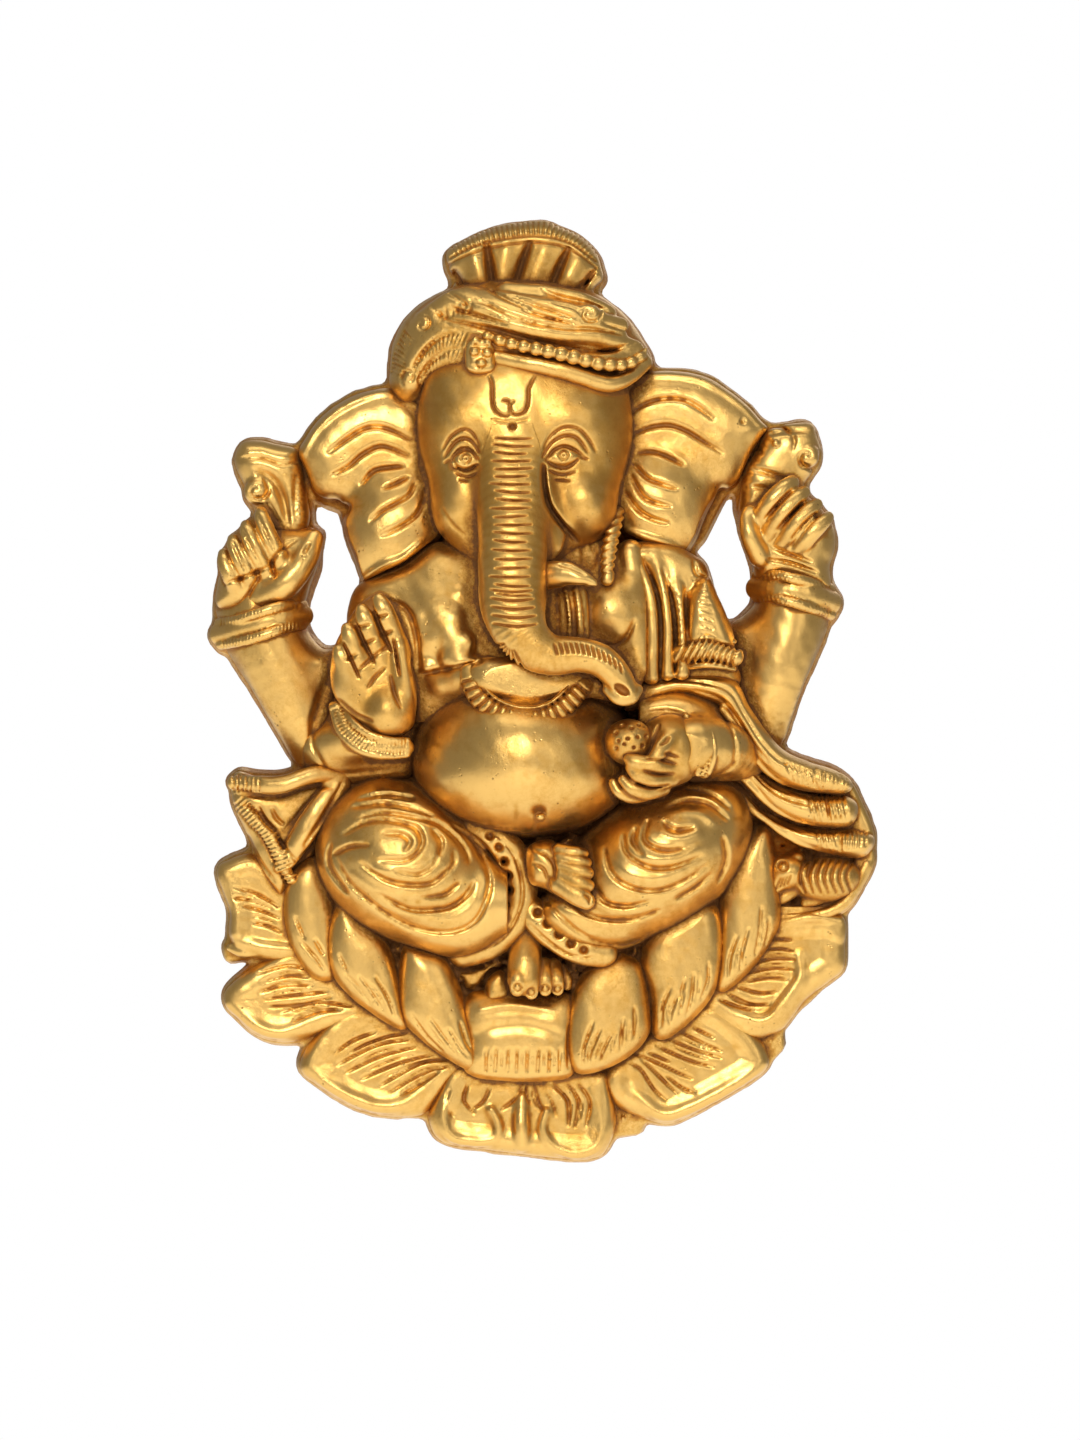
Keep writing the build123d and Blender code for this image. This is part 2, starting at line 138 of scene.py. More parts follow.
def dome(b, s, width):
    """About 0 at an outline's edge, rising smoothly to 1 at a distance inside it."""
    t = np.clip(-s / width, 0, 1)
    return soften(np.sqrt(np.clip(1 - (1 - t) ** 2, 0, 1)), 0.13 * width / b.step)


# ------------------------------------------------------------------ solid shapes
class Block:
    """Box of sample points around a member, in mm."""

    def __init__(self, low, high, step):
        pad = 2.5 * step
        counts = [int(math.ceil((h - l + 2 * pad) / step)) + 1 for l, h in zip(low, high)]
        axes = [np.float32(l - pad) + np.float32(step) * np.arange(n, dtype=np.float32)
                for l, n in zip(low, counts)]
        self.low = np.array([axis[0] for axis in axes])
        self.step = step
        self.x, self.d, self.z = axes[0][:, None, None], axes[1][None, :, None], axes[2][None, None, :]
        self.flat_x, self.flat_z = axes[0][:, None].astype(float), axes[2][None, :].astype(float)


def deep(value):
    """A plane value, or a number, as a field."""
    return value[:, None, :].astype(np.float32) if isinstance(value, np.ndarray) else np.float32(value)


def slab(b, s, front, back=GROUND - 2, edge=2.0):
    """Solid with a plane outline, from a back depth to a front one, with a rounded front edge."""
    q = deep(s) + edge
    r = b.d - deep(front) + edge
    body = np.sqrt(np.maximum(q, 0) ** 2 + np.maximum(r, 0) ** 2) + np.minimum(np.maximum(q, r), 0) - edge
    return np.maximum(body, back - b.d)


def pad(b, points, front, crown=0.0, width=8.0, edge=2.0, back=GROUND - 2):
    """A cushion-like member: an outline whose front swells in the middle."""
    s = region(b, points)
    return slab(b, s, front + crown * dome(b, s, width), back, edge)


def ball(b, x, z, d, rx, rz=None, rd=None, turn=0.0):
    """Ellipsoid; turn is in degrees in the wall plane."""
    rz = rx if rz is None else rz
    rd = rx if rd is None else rd
    c, s = math.cos(math.radians(turn)), math.sin(math.radians(turn))
    u = (b.x - x) * c + (b.z - z) * s
    v = (b.z - z) * c - (b.x - x) * s
    w = b.d - d
    k0 = np.sqrt((u / rx) ** 2 + (v / rz) ** 2 + (w / rd) ** 2)
    k1 = np.sqrt((u / rx**2) ** 2 + (v / rz**2) ** 2 + (w / rd**2) ** 2)
    return (k0 * (k0 - 1) / np.maximum(k1, 1e-5)).astype(np.float32)


def tube(b, stations, parts=5, flat=1.0):
    """Round member through stations of x, z, d and radius.

    A flat under 1, given for all or as a station's fifth number, presses it towards the wall.
    """
    line = smooth(stations, parts=parts)
    if line.shape[1] < 5:
        line = np.column_stack([line, np.full(len(line), flat)])
    field = None
    for a, c in zip(line[:-1], line[1:]):
        e = c - a
        press = (a[4] + c[4]) / 2
        e2 = e[2] / press
        px, pz, pd = b.x - a[0], b.z - a[1], (b.d - a[2]) / press
        t = np.clip((px * e[0] + pz * e[1] + pd * e2) / max(e[0] ** 2 + e[1] ** 2 + e2**2, 1e-9), 0, 1)
        gap = np.sqrt((px - t * e[0]) ** 2 + (pz - t * e[1]) ** 2 + (pd - t * e2) ** 2) - (a[3] + t * e[3])
        gap = gap * min(press, 1)
        field = gap if field is None else np.minimum(field, gap)
    return field.astype(np.float32)


def join(a, b, soft=0.0):
    """Union, with a fillet of about the given size."""
    if soft <= 0:
        return np.minimum(a, b)
    h = np.clip(0.5 + 0.5 * (b - a) / soft, 0, 1)
    return b + (a - b) * h - soft * h * (1 - h)


def carve(a, tool, soft=0.0):
    """Take a tool away."""
    return -join(-a, tool, soft)


def lines(b, field, strokes, width=0.5, depth=0.6, above=GROUND, ends=True, curved=True):
    """Engrave strokes into what stands in front of a depth; a negative depth raises them."""
    cut = np.zeros(np.broadcast(b.flat_x, b.flat_z).shape)
    for stroke in strokes:
        line = smooth(stroke, parts=5) if curved and len(stroke) > 2 else np.array(stroke, float)
        gap, share = reach(b.flat_x, b.flat_z, line)
        swell = np.sqrt(np.clip(4 * share * (1 - share), 0, 1)) * 0.75 + 0.25 if ends else 1.0
        cut = np.maximum(cut, swell * np.exp(-(gap / (width * (0.6 + 0.4 * swell))) ** 2))
    near = np.clip((b.d - above) / 2, 0, 1)
    return field + np.float32(depth) * near * deep(cut)


def dots(b, field, spots, radius, depth):
    """Drill round holes, or raise beads with a negative depth."""
    cut = np.zeros(np.broadcast(b.flat_x, b.flat_z).shape)
    for x, z in spots:
        gap = np.hypot(b.flat_x - x, b.flat_z - z)
        cut = np.maximum(cut, np.clip(1.3 - gap / radius, 0, 1))
    return field + np.float32(depth) * deep(cut) * np.clip((b.d - GROUND) / 2, 0, 1)


def beads(b, spots):
    field = None
    for x, z, d, r in spots:
        bead = ball(b, x, z, d, r)
        field = bead if field is None else np.minimum(field, bead)
    return field


def along(points, count, start=0.0, end=1.0):
    """Evenly spaced points on a curve, each with its direction."""
    line = smooth(points, parts=12)
    lengths = np.concatenate([[0], np.cumsum(np.linalg.norm(np.diff(line, axis=0), axis=1))])
    spots = np.linspace(start, end, count) * lengths[-1]
    places = np.array([[np.interp(s, lengths, line[:, k]) for k in range(line.shape[1])] for s in spots])
    ahead = np.array([[np.interp(s + 0.2, lengths,
                                 line[:, k]) for k in range(line.shape[1])] for s in spots])
    back = np.array([[np.interp(s - 0.2, lengths,
                                line[:, k]) for k in range(line.shape[1])] for s in spots])
    steps = ahead - back
    return places, steps / np.maximum(np.linalg.norm(steps, axis=1)[:, None], 1e-9)


def ticks(points, count, length, lean=0.0, start=0.0, end=1.0):
    """Short strokes across a curve, such as the hatching on a hem."""
    places, ways = along(points, count, start, end)
    strokes = []
    for (x, z), (ux, uz) in zip(places, ways):
        ax, az = -uz + lean * ux, ux + lean * uz
        strokes.append([(x - ax * length / 2, z - az * length / 2),
                        (x + ax * length / 2, z + az * length / 2)])
    return strokes


def uneven(b, size=0.05, pitch=11.0):
    """Slow hand-made unevenness of a worked surface."""
    k = 2 * math.pi / pitch
    return np.float32(size) * (np.sin(k * b.x + 1.7 * np.sin(0.6 * k * b.z))
                               * np.sin(k * 0.9 * b.z + 0.4 * k * b.d)
                               + 0.5 * np.sin(2.3 * k * b.x + 1.1 * k * b.z + 2))



# ------------------------------------------------------------------ head
TRUNK_LINE = [(-8.8, 199, 33.6, 5.0, 0.45), (-8.8, 194, 33.9, 7.2, 0.45), (-8.8, 188, 34.6, 8.4, 0.5),
              (-8.6, 180, 36, 8.9, 0.58), (-8.5, 170, 38, 9.2, 0.7), (-8.7, 160, 40, 9.1, 0.8),
              (-8.5, 150, 41.3, 8.9, 0.88), (-6.8, 143.6, 42, 8.4, 0.92), (-3.6, 139.2, 42.6, 7.0, 1),
              (1.5, 136.6, 43.3, 5.6, 1), (8.4, 136.6, 43.8, 4.7, 1), (14.4, 135.2, 44, 4.4, 1),
              (18.6, 131.4, 44, 4.0, 1), (21.2, 127.2, 43.6, 3.6, 1)]


def face(b):
    """Head and trunk as one surface; each piece keeps its own part of it."""
    s = region(b, [(-28, 213), (-29.6, 205), (-29.8, 195), (-29.6, 186), (-28.4, 179), (-25.4, 170),
                   (-21, 162.6),
                   (-8, 157), (3, 160), (9, 165), (15, 168.6), (18, 174), (19.2, 186), (19.4, 196),
                   (18.6, 205),
                   (16, 213), (-6, 219)])
    field = slab(b, s, 27 + 5.5 * dome(b, s, 15), edge=3.6)
    field = join(field, ball(b, -5.4, 199, 19, 29, 29, 17), 7)                  # forehead
    for x in (-21, 7.5):
        field = join(field, ball(b, x, 199.6, 26, 8.4, 6.4, 8.6), 6)            # brows
    field = join(field, ball(b, -22.6, 177.4, 23, 7.4, 10, 10.4, -14), 5)       # cheeks
    field = join(field, ball(b, 10.2, 178, 24.6, 8.2, 9.8, 11.6, 10), 3.4)
    for x, z, turn in ((-21, 188.6, 12), (5, 189.6, 6)):
        field = carve(field, ball(b, x, z, 41, 5.2, 3.6, 6, turn), 2.4)         # eye hollows
        field = join(field, ball(b, x, z, 33.8, 4.2, 2.4, 2.4, turn), 0.5)      # eyes
    field = join(field, tube(b, TRUNK_LINE, parts=4), 2.6)
    root = [(-8.4, 181, 34, 8, 0.5), (-6.4, 174.4, 34, 9.8, 0.42), (-4, 169.4, 33.4, 9.6, 0.42)]
    field = join(field, tube(b, root, parts=4), 3)
    field = lines(b, field, [[(-0.4, 187.4), (-0.2, 182), (1, 176.6), (4.4, 171.6), (8.6, 167.2)]], 0.7,
                  1.7, 22)
    brows = [[(-27.3, 191.8), (-25.2, 195), (-22, 196.9), (-19.4, 196), (-17.6, 192.4)],
             [(-0.4, 191.6), (1.4, 195), (4.6, 197.3), (8.5, 197.2), (11.4, 194.6), (13.6, 191)]]
    lids = [[(-27, 189.6), (-24.6, 193), (-22, 194.5), (-19.4, 193.6), (-17.6, 190.6)],
            [(-0.6, 189.4), (1.4, 193), (4.6, 195), (8.4, 194.6), (11.6, 190.6)]]
    eyes = [[(-25, 189.4), (-22.6, 191.6), (-20, 191.4), (-17.8, 188.6)],
            [(-25, 189.4), (-23.4, 187), (-21, 186), (-17.8, 187.6)],
            [(0.2, 188.6), (2.4, 191.4), (5.4, 192.4), (8.6, 191), (10.6, 189.6)],
            [(0.2, 188.6), (2.8, 187), (6, 186.8), (9, 189)],
            [(-24, 185.6), (-21, 184.3), (-18.2, 185.2)], [(1, 186), (4.4, 184.8), (8, 185.8)],
            [(-27, 188), (-25.4, 189)], [(9.4, 189.6), (11.6, 189)], [(-23, 183.6), (-20.6, 183.2)],
            [(2.6, 183.4), (6.4, 183.2)]]
    field = lines(b, field, brows, 0.4, 0.75, 20)
    field = lines(b, field, lids, 0.46, 0.85, 20)
    field = lines(b, field, eyes, 0.36, 0.75, 20)
    irises = [smooth([(x - 1.3, z), (x, z + 1.3), (x + 1.3, z), (x, z - 1.3), (x - 1.3, z)])
              for x, z in ((-21.2, 189), (4.9, 189.9))]
    field = lines(b, field, irises, 0.3, 0.6, 20, ends=False, curved=False)
    field = dots(b, field, [(-21.2, 189), (4.9, 189.9)], 0.5, 0.7)
    marks = [[(-15, 211.4), (-14.2, 209), (-14, 204), (-13.2, 201.8), (-11.6, 200.6), (-10.2, 200.4),
              (-9.3, 201.6)],
             [(-2.6, 211.2), (-4.3, 208), (-4.5, 204.4), (-5.2, 202), (-6.6, 200.9), (-8.2, 200.8),
              (-9.3, 201.8), (-9.3, 203.4),
              (-8.2, 204.4)], [(-9.3, 203.4), (-10, 204.4), (-11.4, 204.6)]]
    field = lines(b, field, marks, 0.36, 0.85, 20)
    field = dots(b, field, [(-8.7, 197.5)], 0.95, 1.3)
    rings = []
    for i in range(20):
        z = 194.4 - 1.98 * i - 0.012 * i * i
        half = 4.9 + 0.5 * math.sin(2.3 * i)
        shift = 0.5 * math.sin(1.7 * i + 1) - 0.2
        tilt = 0.35 * math.sin(1.1 * i) + 0.1
        rings.append([(-8.7 + shift - half, z + tilt), (-8.7 + shift, z - 0.25),
                      (-8.7 + shift + half, z - 0.4 * tilt)])
    field = lines(b, field, rings, 0.27, 0.8, 22)
    return lines(b, field, [[(-13.8, 199.5), (-9, 198.7), (-4.4, 199.5)],
                            [(-27.5, 176), (-24.6, 171.6), (-21.4, 169)]], 0.5, 0.3, 20)


def trunk_side(b):
    """Distance outside the trunk's own part of the face, in the wall plane."""
    line = smooth(TRUNK_LINE, parts=4)
    gap, share = reach(b.flat_x, b.flat_z, line)
    along_it = np.linspace(0, 1, len(line))
    return np.maximum(gap - np.interp(share, along_it, line[:, 3]) - 0.5, b.flat_z - 198.4)


def head(b):
    return face(b) + 0.03


def trunk(b):
    field = np.maximum(face(b), deep(trunk_side(b)))
    rings = [[(-14.6 + 0.2 * i, 153.8 - 2.25 * i), (-8.8 + 0.3 * i, 153 - 2.25 * i),
              (-3.4 + 0.3 * i, 153.6 - 2.25 * i)]
             for i in range(5)]
    fan = [[(-8.5 + 2.2 * math.cos(a), 140 + 2.2 * math.sin(a)),
            (-6.4 + 8 * math.cos(a), 141 + 8 * math.sin(a))]
           for a in np.radians((196, 212, 228, 244, 260, 274))]
    upper = [[(x, 140.6 - 0.16 * (x - 3) - 0.03 * (x - 9) ** 2),
              (x + 0.9, 137.6 - 0.16 * (x - 3) - 0.03 * (x - 9) ** 2)]
             for x in np.linspace(2.4, 19.5, 13)]
    field = lines(b, field, rings + fan, 0.34, 0.85, 30)
    field = lines(b, field, upper, 0.34, 0.75, 30)
    lip = tube(b, [(16.8, 127.4, 43.4, 1.6), (19.4, 124.9, 44.4, 1.6), (22.6, 124.8, 44.2, 1.6),
                   (24.6, 127.4, 43.2, 1.4)])
    field = join(field, lip, 1.0)
    return carve(field, ball(b, 20.3, 127.2, 48.6, 2.9, 1.5, 3.4, -30), 0.6)


def tusk(b):
    field = tube(b, [(0.5, 157.8, 38, 3.8, 0.8), (5.4, 158, 40.5, 3.4, 0.8), (9.4, 157, 42, 2.3, 0.8),
                     (13, 155.6, 42.4, 1.0, 0.8)])
    return lines(b, field, [[(3.4, 160.6), (7, 159.6), (11, 157.6)],
                            [(4.4, 155.2), (8, 154.9), (11, 155.2)]], 0.5, 0.5, 30)


def ear(b, outline, folds, rims, roots, lobe):
    s = region(b, outline)
    field = slab(b, s, 15 + 4.5 * dome(b, s, 11), edge=2.6)
    field = lines(b, field, [smooth(outline, closed=True)[::2]], 3.6, 0.9, GROUND, ends=False, curved=False)
    field = join(field, np.maximum(ball(b, *lobe), deep(s) + 1.2), 3)
    field = lines(b, field, rims, 1.1, -1.3, GROUND)
    field = lines(b, field, folds, 0.62, 1.25, GROUND)
    return lines(b, field, roots, 1.5, 0.9, GROUND)


def ear_left(b):
    outline = [(-67.6, 192), (-65, 196.8), (-61.5, 201.5), (-57, 205.2), (-52, 208), (-46, 209.6),
               (-42, 210),
               (-38, 208.6), (-31, 207), (-24, 200), (-24, 176), (-29, 167.6), (-36, 162.6), (-41, 159.6),
               (-48.5, 156.2), (-50.4, 158), (-52.2, 163.5), (-54.2, 168.5), (-55, 173.5), (-53.4, 177),
               (-56, 178.4), (-60, 178.8), (-63.4, 181), (-65.4, 186)]
    folds = [[(-58.5, 191.5), (-54, 195), (-49, 198), (-44.5, 198.5), (-40, 197), (-36, 195)],
             [(-57.5, 185.5), (-53, 188), (-49.5, 191), (-45, 193.2), (-41, 192.5), (-36.5, 190.5)],
             [(-49.5, 183), (-46.5, 186.5), (-42.5, 187.5), (-38, 187.8)],
             [(-43.5, 181.8), (-40.5, 183), (-37, 184.8)],
             [(-47, 172.8), (-44, 175.5), (-39.5, 178), (-36.5, 180), (-35, 183)],
             [(-44, 169), (-39.5, 171), (-35, 174), (-32.8, 178), (-32.3, 182)]]
    rims = [[(-37.5, 206.5), (-33, 202), (-31.5, 197), (-31, 190)],
            [(-49, 157.6), (-44, 160.6), (-38, 163), (-33, 167.5)],
            [(-66, 190.5), (-62, 198), (-55, 204), (-46, 207.6), (-41, 207.6)]]
    roots = [[(-36.5, 204.5), (-33.4, 199), (-33, 190), (-33.2, 184)]]
    return ear(b, outline, folds, rims, roots, (-41, 171, 12, 15, 19, 13, -20))


def ear_right(b):
    outline = [(14, 205), (20, 210), (23.5, 213), (27, 214.2), (33, 214.6), (40, 213.9), (45, 212.4),
               (49, 209.8),
               (55, 205.2), (58.6, 201.2), (61.2, 198.6), (59, 195), (56, 190), (53.5, 184.5),
               (50.2, 181.6),
               (47.5, 181.4), (45.6, 178), (43.2, 173), (41.2, 168), (37.6, 163.6), (31.6, 165.4),
               (24.6, 167.8),
               (19, 172), (14, 180), (14, 196)]
    folds = [[(21.5, 200), (25.5, 204), (31, 206), (37, 206), (42, 203.5), (45.5, 200.5)],
             [(22.5, 195.5), (27, 198), (33, 199), (38, 197.5), (43, 194.5), (48, 191.5)],
             [(25, 191.5), (29, 191.7), (33, 190.5), (37.5, 188)],
             [(23.5, 188.5), (27.5, 184.5), (31, 183), (35.5, 181.5)],
             [(23, 185.5), (26, 180), (29, 178), (34, 176.8)],
             [(21.3, 181), (25, 176), (29, 173.5), (33.5, 172.3)]]
    rims = [[(21.5, 170.6), (27, 168.6), (33, 166.8), (37.5, 165)],
            [(24, 212), (33, 212.8), (43, 211.2), (53, 205), (59, 198.6)]]
    roots = [[(21, 206), (20.6, 198), (21, 189)]]
    field = ear(b, outline, folds, rims, roots, (31, 178, 12, 15, 17, 12, 20))
    return dots(b, field, [(53.5, 200)], 0.8, 0.9)


def earring_rope(b):
    field = tube(b, [(19.6, 175, 21, 2.0), (18, 169, 27, 2.3), (16.8, 163, 30, 2.3), (16.6, 157, 31, 1.9)])
    wraps = [[(14, 157.6 + 2.1 * i), (16.6 + 0.25 * i, 159.2 + 2.1 * i),
              (21, 160 + 2.1 * i)] for i in range(8)]
    return lines(b, field, wraps, 0.45, 0.7, 15, ends=False)


# ------------------------------------------------------------------ turban
def turban_wrap(b):
    s = region(b, [(-41.8, 209.5), (-42, 214), (-41, 220.4), (-38, 226), (-34.6, 230), (-30, 233),
                   (-25.5, 235), (-18, 237),
                   (0, 237), (11, 235), (17, 231.8), (22.6, 227), (26.6, 222), (28.8, 218), (29, 214.6),
                   (25.4, 212.4),
                   (21.4, 209.4), (18.6, 206.6), (12, 209), (5, 211), (0, 212), (-6, 213.2), (-12, 214.2),
                   (-17, 211.6),
                   (-22, 212), (-27, 209.8), (-31, 206.8), (-34, 205.2), (-38.6, 205)])
    field = slab(b, s, 19 + 7 * dome(b, s, 12), edge=5)
    field = join(field, ball(b, -8, 221, 18, 31, 17, 16), 5)
    for points in ([(-14, 216.4, 31, 2.4), (-4, 214.6, 33.6, 2.6), (6, 212.4, 34, 2.6),
                    (16, 209.4, 32, 2.5), (22, 211, 29, 2.2),
                    (27, 215.4, 24, 1.9)],
                   [(-31, 227, 24, 3), (-24, 231.6, 27, 3.4), (-16, 229, 31, 3.6), (-8, 225.6, 33, 3.4),
                    (2, 223, 33.4, 3.2),
                    (14, 222, 31.6, 2.8), (24, 219, 26, 2.4)],
                   [(-20, 233, 27, 2.6), (-9, 230.6, 31, 3), (3, 228.6, 32.6, 3), (12, 226.4, 32, 2.8),
                    (20, 225, 28, 2.4)],
                   [(-10, 234.6, 26, 2.4), (1, 233.2, 28.6, 2.6), (10, 231.4, 28.6, 2.5),
                    (17, 228.6, 26, 2.2)]):
        field = join(field, tube(b, points), 2.2)                          # rolls of cloth
    field = join(field, ball(b, 12, 227.8, 31.6, 4, 3.6, 3.4), 1)          # knot
    field = join(field, tube(b, [(-8, 219, 30.6, 3), (4, 217.4, 32, 3.2), (15, 215.4, 30.6, 3.2),
                                 (24.6, 216.6, 25, 3)]), 1.5)
    folds = [[(-20.4, 231.6), (-15.5, 230.4), (-10.6, 227.9), (-3, 225.4), (5, 223.8), (13, 223.6),
              (20.4, 222.6)],
             [(-9.6, 232.8), (-4, 230.6), (3, 228.2), (8, 226.4)],
             [(-1, 234.6), (4, 232.6), (11, 231), (16.6, 229.2)],
             [(-30.6, 230.6), (-27, 227.4), (-20, 225.2), (-12, 223.2), (-4, 220.9), (6, 218.6),
              (16, 217.8), (24, 220.6)],
             [(-26, 233.8), (-22, 231.2), (-19.4, 228.4)],
             [(-14.6, 218.6), (-4, 217.2), (8, 214.6), (17, 212), (23.4, 213.4)],
             [(-15, 234.6), (-11, 232.2), (-4, 229)], [(-24.6, 229.6), (-18, 227.6), (-10, 224.8)]]
    field = lines(b, field, folds, 0.62, 1.15, 14)
    faint = [[(-18, 229), (-10, 226.4), (0, 224)], [(-6, 228.8), (2, 226.4), (9, 224.8)],
             [(2, 230.6), (8, 229), (9.6, 227)],
             [(-16, 221.6), (-22, 223.4), (-27, 225.6)], [(15.4, 225.4), (18, 224.6), (22, 223.6)]]
    field = lines(b, field, faint, 0.42, 0.6, 14)
    swirl = [(12 + (0.4 + 0.34 * i) * math.cos(0.8 * i),
              227.8 + (0.3 + 0.3 * i) * math.sin(0.8 * i)) for i in range(10)]
    spirals = [swirl]
    for x, z, turn in ((-33, 225.6, 2), (-36.4, 211.4, 4)):
        spirals.append([(x + (0.4 + 0.32 * i) * math.cos(0.9 * i + turn),
                         z + (0.4 + 0.32 * i) * math.sin(0.9 * i + turn))
                        for i in range(8)])
    field = lines(b, field, spirals, 0.42, 0.85, 12)
    leaf = [[(-22, 223), (-27, 222.4), (-31.6, 219.4), (-35, 214.6)],
            [(-20.6, 213.6), (-25.4, 213.6), (-30.4, 211), (-33.6, 207.6)],
            [(-21, 218.4), (-26, 218.2), (-30.8, 215.2), (-34, 211)]]
    field = lines(b, field, leaf, 0.6, 1.0, 12)
    field = lines(b, field, ticks([(-22, 220.8), (-27, 220.2), (-31.6, 217.2), (-34.6, 213)], 15, 3.2, 0.5)
                  + ticks([(-21, 216), (-26, 215.8), (-30.6, 213), (-33.4, 209.4)], 15, 3.2, 0.5)
                  + ticks([(-36.6, 222.6), (-38.8, 218), (-39.6, 212.6)], 10, 3.4, 0.4), 0.36, 0.75, 12,
                  ends=False)
    return lines(b, field, ticks([(-28, 227.6), (-24, 229.4), (-20, 229.4)], 6, 2.4, 0.3), 0.34, 0.5, 12,
                 ends=False)


def turban_plume(b):
    s = region(b, [(-22.6, 232), (-24.6, 238.5), (-26.3, 243), (-26.3, 246.8), (-20, 250.6), (-13, 253.2),
                   (-5, 254.4),
                   (0, 254.6), (4, 253.2), (9.5, 250.7), (13.6, 246.6), (15.2, 242), (15.6, 239), (13, 236),
                   (13, 231)])
    field = slab(b, s, 16 + 5 * dome(b, s, 7), edge=3)
    pleats = [[(-15.8, 248), (-14.8, 241), (-13.6, 233)], [(-4.2, 248), (-6.8, 241), (-9, 233)],
              [(6.2, 246.5), (3, 239.5), (0.5, 232)], [(13.6, 241), (10.4, 237), (7.5, 232.5)],
              [(-24.6, 241), (-21.8, 236.4), (-20.4, 233)]]
    field = lines(b, field, pleats, 1.0, 2.8, 8)
    ribs = [[(-19.5, 247), (-18, 240), (-17, 234)], [(-10, 249.6), (-11, 242), (-11.5, 235)],
            [(1, 248.6), (-2, 241), (-4.4, 234)], [(9.6, 244.6), (6.6, 238.6), (4, 233)]]
    field = lines(b, field, ribs, 2.4, -1.1, 8)
    bands = [[(-25.4, 244.4), (-19, 247.4), (-10, 249.4), (-1, 250), (7, 248), (13.6, 243.4)],
             [(-25.8, 242.8), (-19, 245.6), (-10, 247.6), (-1, 248.2), (7, 246.4), (13.8, 241.6)]]
    field = lines(b, field, bands, 0.45, 0.75, 8, ends=False)
    fringe = ticks([(-24.6, 246.4), (-18, 249.4), (-9, 251.6), (0, 252.2), (8, 249.6), (12.8, 245.2)], 30,
                   3.2)
    return lines(b, field, fringe, 0.38, 0.6, 8, ends=False)


def turban_beads(b):
    path = [(-15.4, 221.8, 33.4), (-9, 219.8, 35), (-2, 218.2, 36), (4, 217, 36.4), (10, 215.4, 36.2),
            (16, 214.2, 34.8),
            (22, 214.6, 31.6), (27.6, 218.2, 26.6)]
    sizes = [1.5, 1.6, 1.7, 1.8, 1.9, 2.0, 2.05, 2.05, 2.0, 1.95, 1.85, 1.7, 1.6, 1.45, 1.3]
    places, _ = along(path, 15)
    string = tube(b, [(x, z, d - 0.6, 1.3) for x, z, d in path])
    return join(beads(b, [(x, z, d, r) for (x, z, d), r in zip(places, sizes)]), string, 0.4)


def turban_brooch(b):
    frame_pad = pad(b, [(-21, 213), (-21.4, 217), (-20.6, 220.6), (-17, 221.4), (-13.8, 219.4), (-13, 215),
                        (-14.2, 212.2), (-18, 211.6)], 34.6, 0.8, 3, 1.4, 26)
    gems = beads(b, [(-18.9, 217.8, 35.6, 1.5), (-15.4, 217.4, 35.6, 1.4), (-17, 214.4, 35.6, 1.4),
                     (-18.6, 220.6, 34.8, 1.2),
                     (-15.4, 220, 34.6, 1.1)])
    field = join(frame_pad, gems, 0.25)
    return lines(b, field, [[(-20, 213.8), (-19.8, 218.6), (-14.4, 218.4), (-14.2, 213.8), (-20, 213.8)]],
                 0.4, 0.4, 20,
                 ends=False)


# ------------------------------------------------------------------ body
def belly(b):
    field = ball(b, -5.8, 110.6, 6, 31.8, 23.8, 40.6)
    field = join(field, ball(b, -5, 104, 22, 27, 14, 22.6), 6)
    field = carve(field, ball(b, -1.6, 94.4, 43.5, 2.3, 1.9, 5), 1.4)
    field = join(field, ball(b, -1.2, 93.6, 39.6, 1.3, 1.0, 1.4), 0.3)
    folds = [[(-34, 101), (-27, 94.4), (-17, 91), (-6, 89.8)],
             [(-19, 90.6), (-8, 88.9), (2, 89.2), (9, 91)]]
    return lines(b, field, folds, 0.8, 0.5, 15)


def necklace(b):
    path = [(-20, 131.4, 35.6), (-18, 126.4, 38), (-14, 122.6, 40), (-8.4, 120.4, 41.4),
            (-2.6, 120.1, 41.8),
            (2.8, 121.8, 41.2), (6.8, 125.2, 40), (10, 129.2, 37.5)]
    field = tube(b, [(x, z, d - 1.6, 3.2) for x, z, d in path], flat=0.8)
    flat_path = [(x, z) for x, z, _ in path]
    field = lines(b, field, ticks([(x, z - 0.6) for x, z in flat_path], 17, 4.2, 0.05, 0.02, 0.98), 0.4,
                  0.9, 30, ends=False)
    return lines(b, field, [[(x * 0.93 - 0.4, z + 1.9) for x, z in flat_path]], 0.4, 0.8, 30, ends=False)


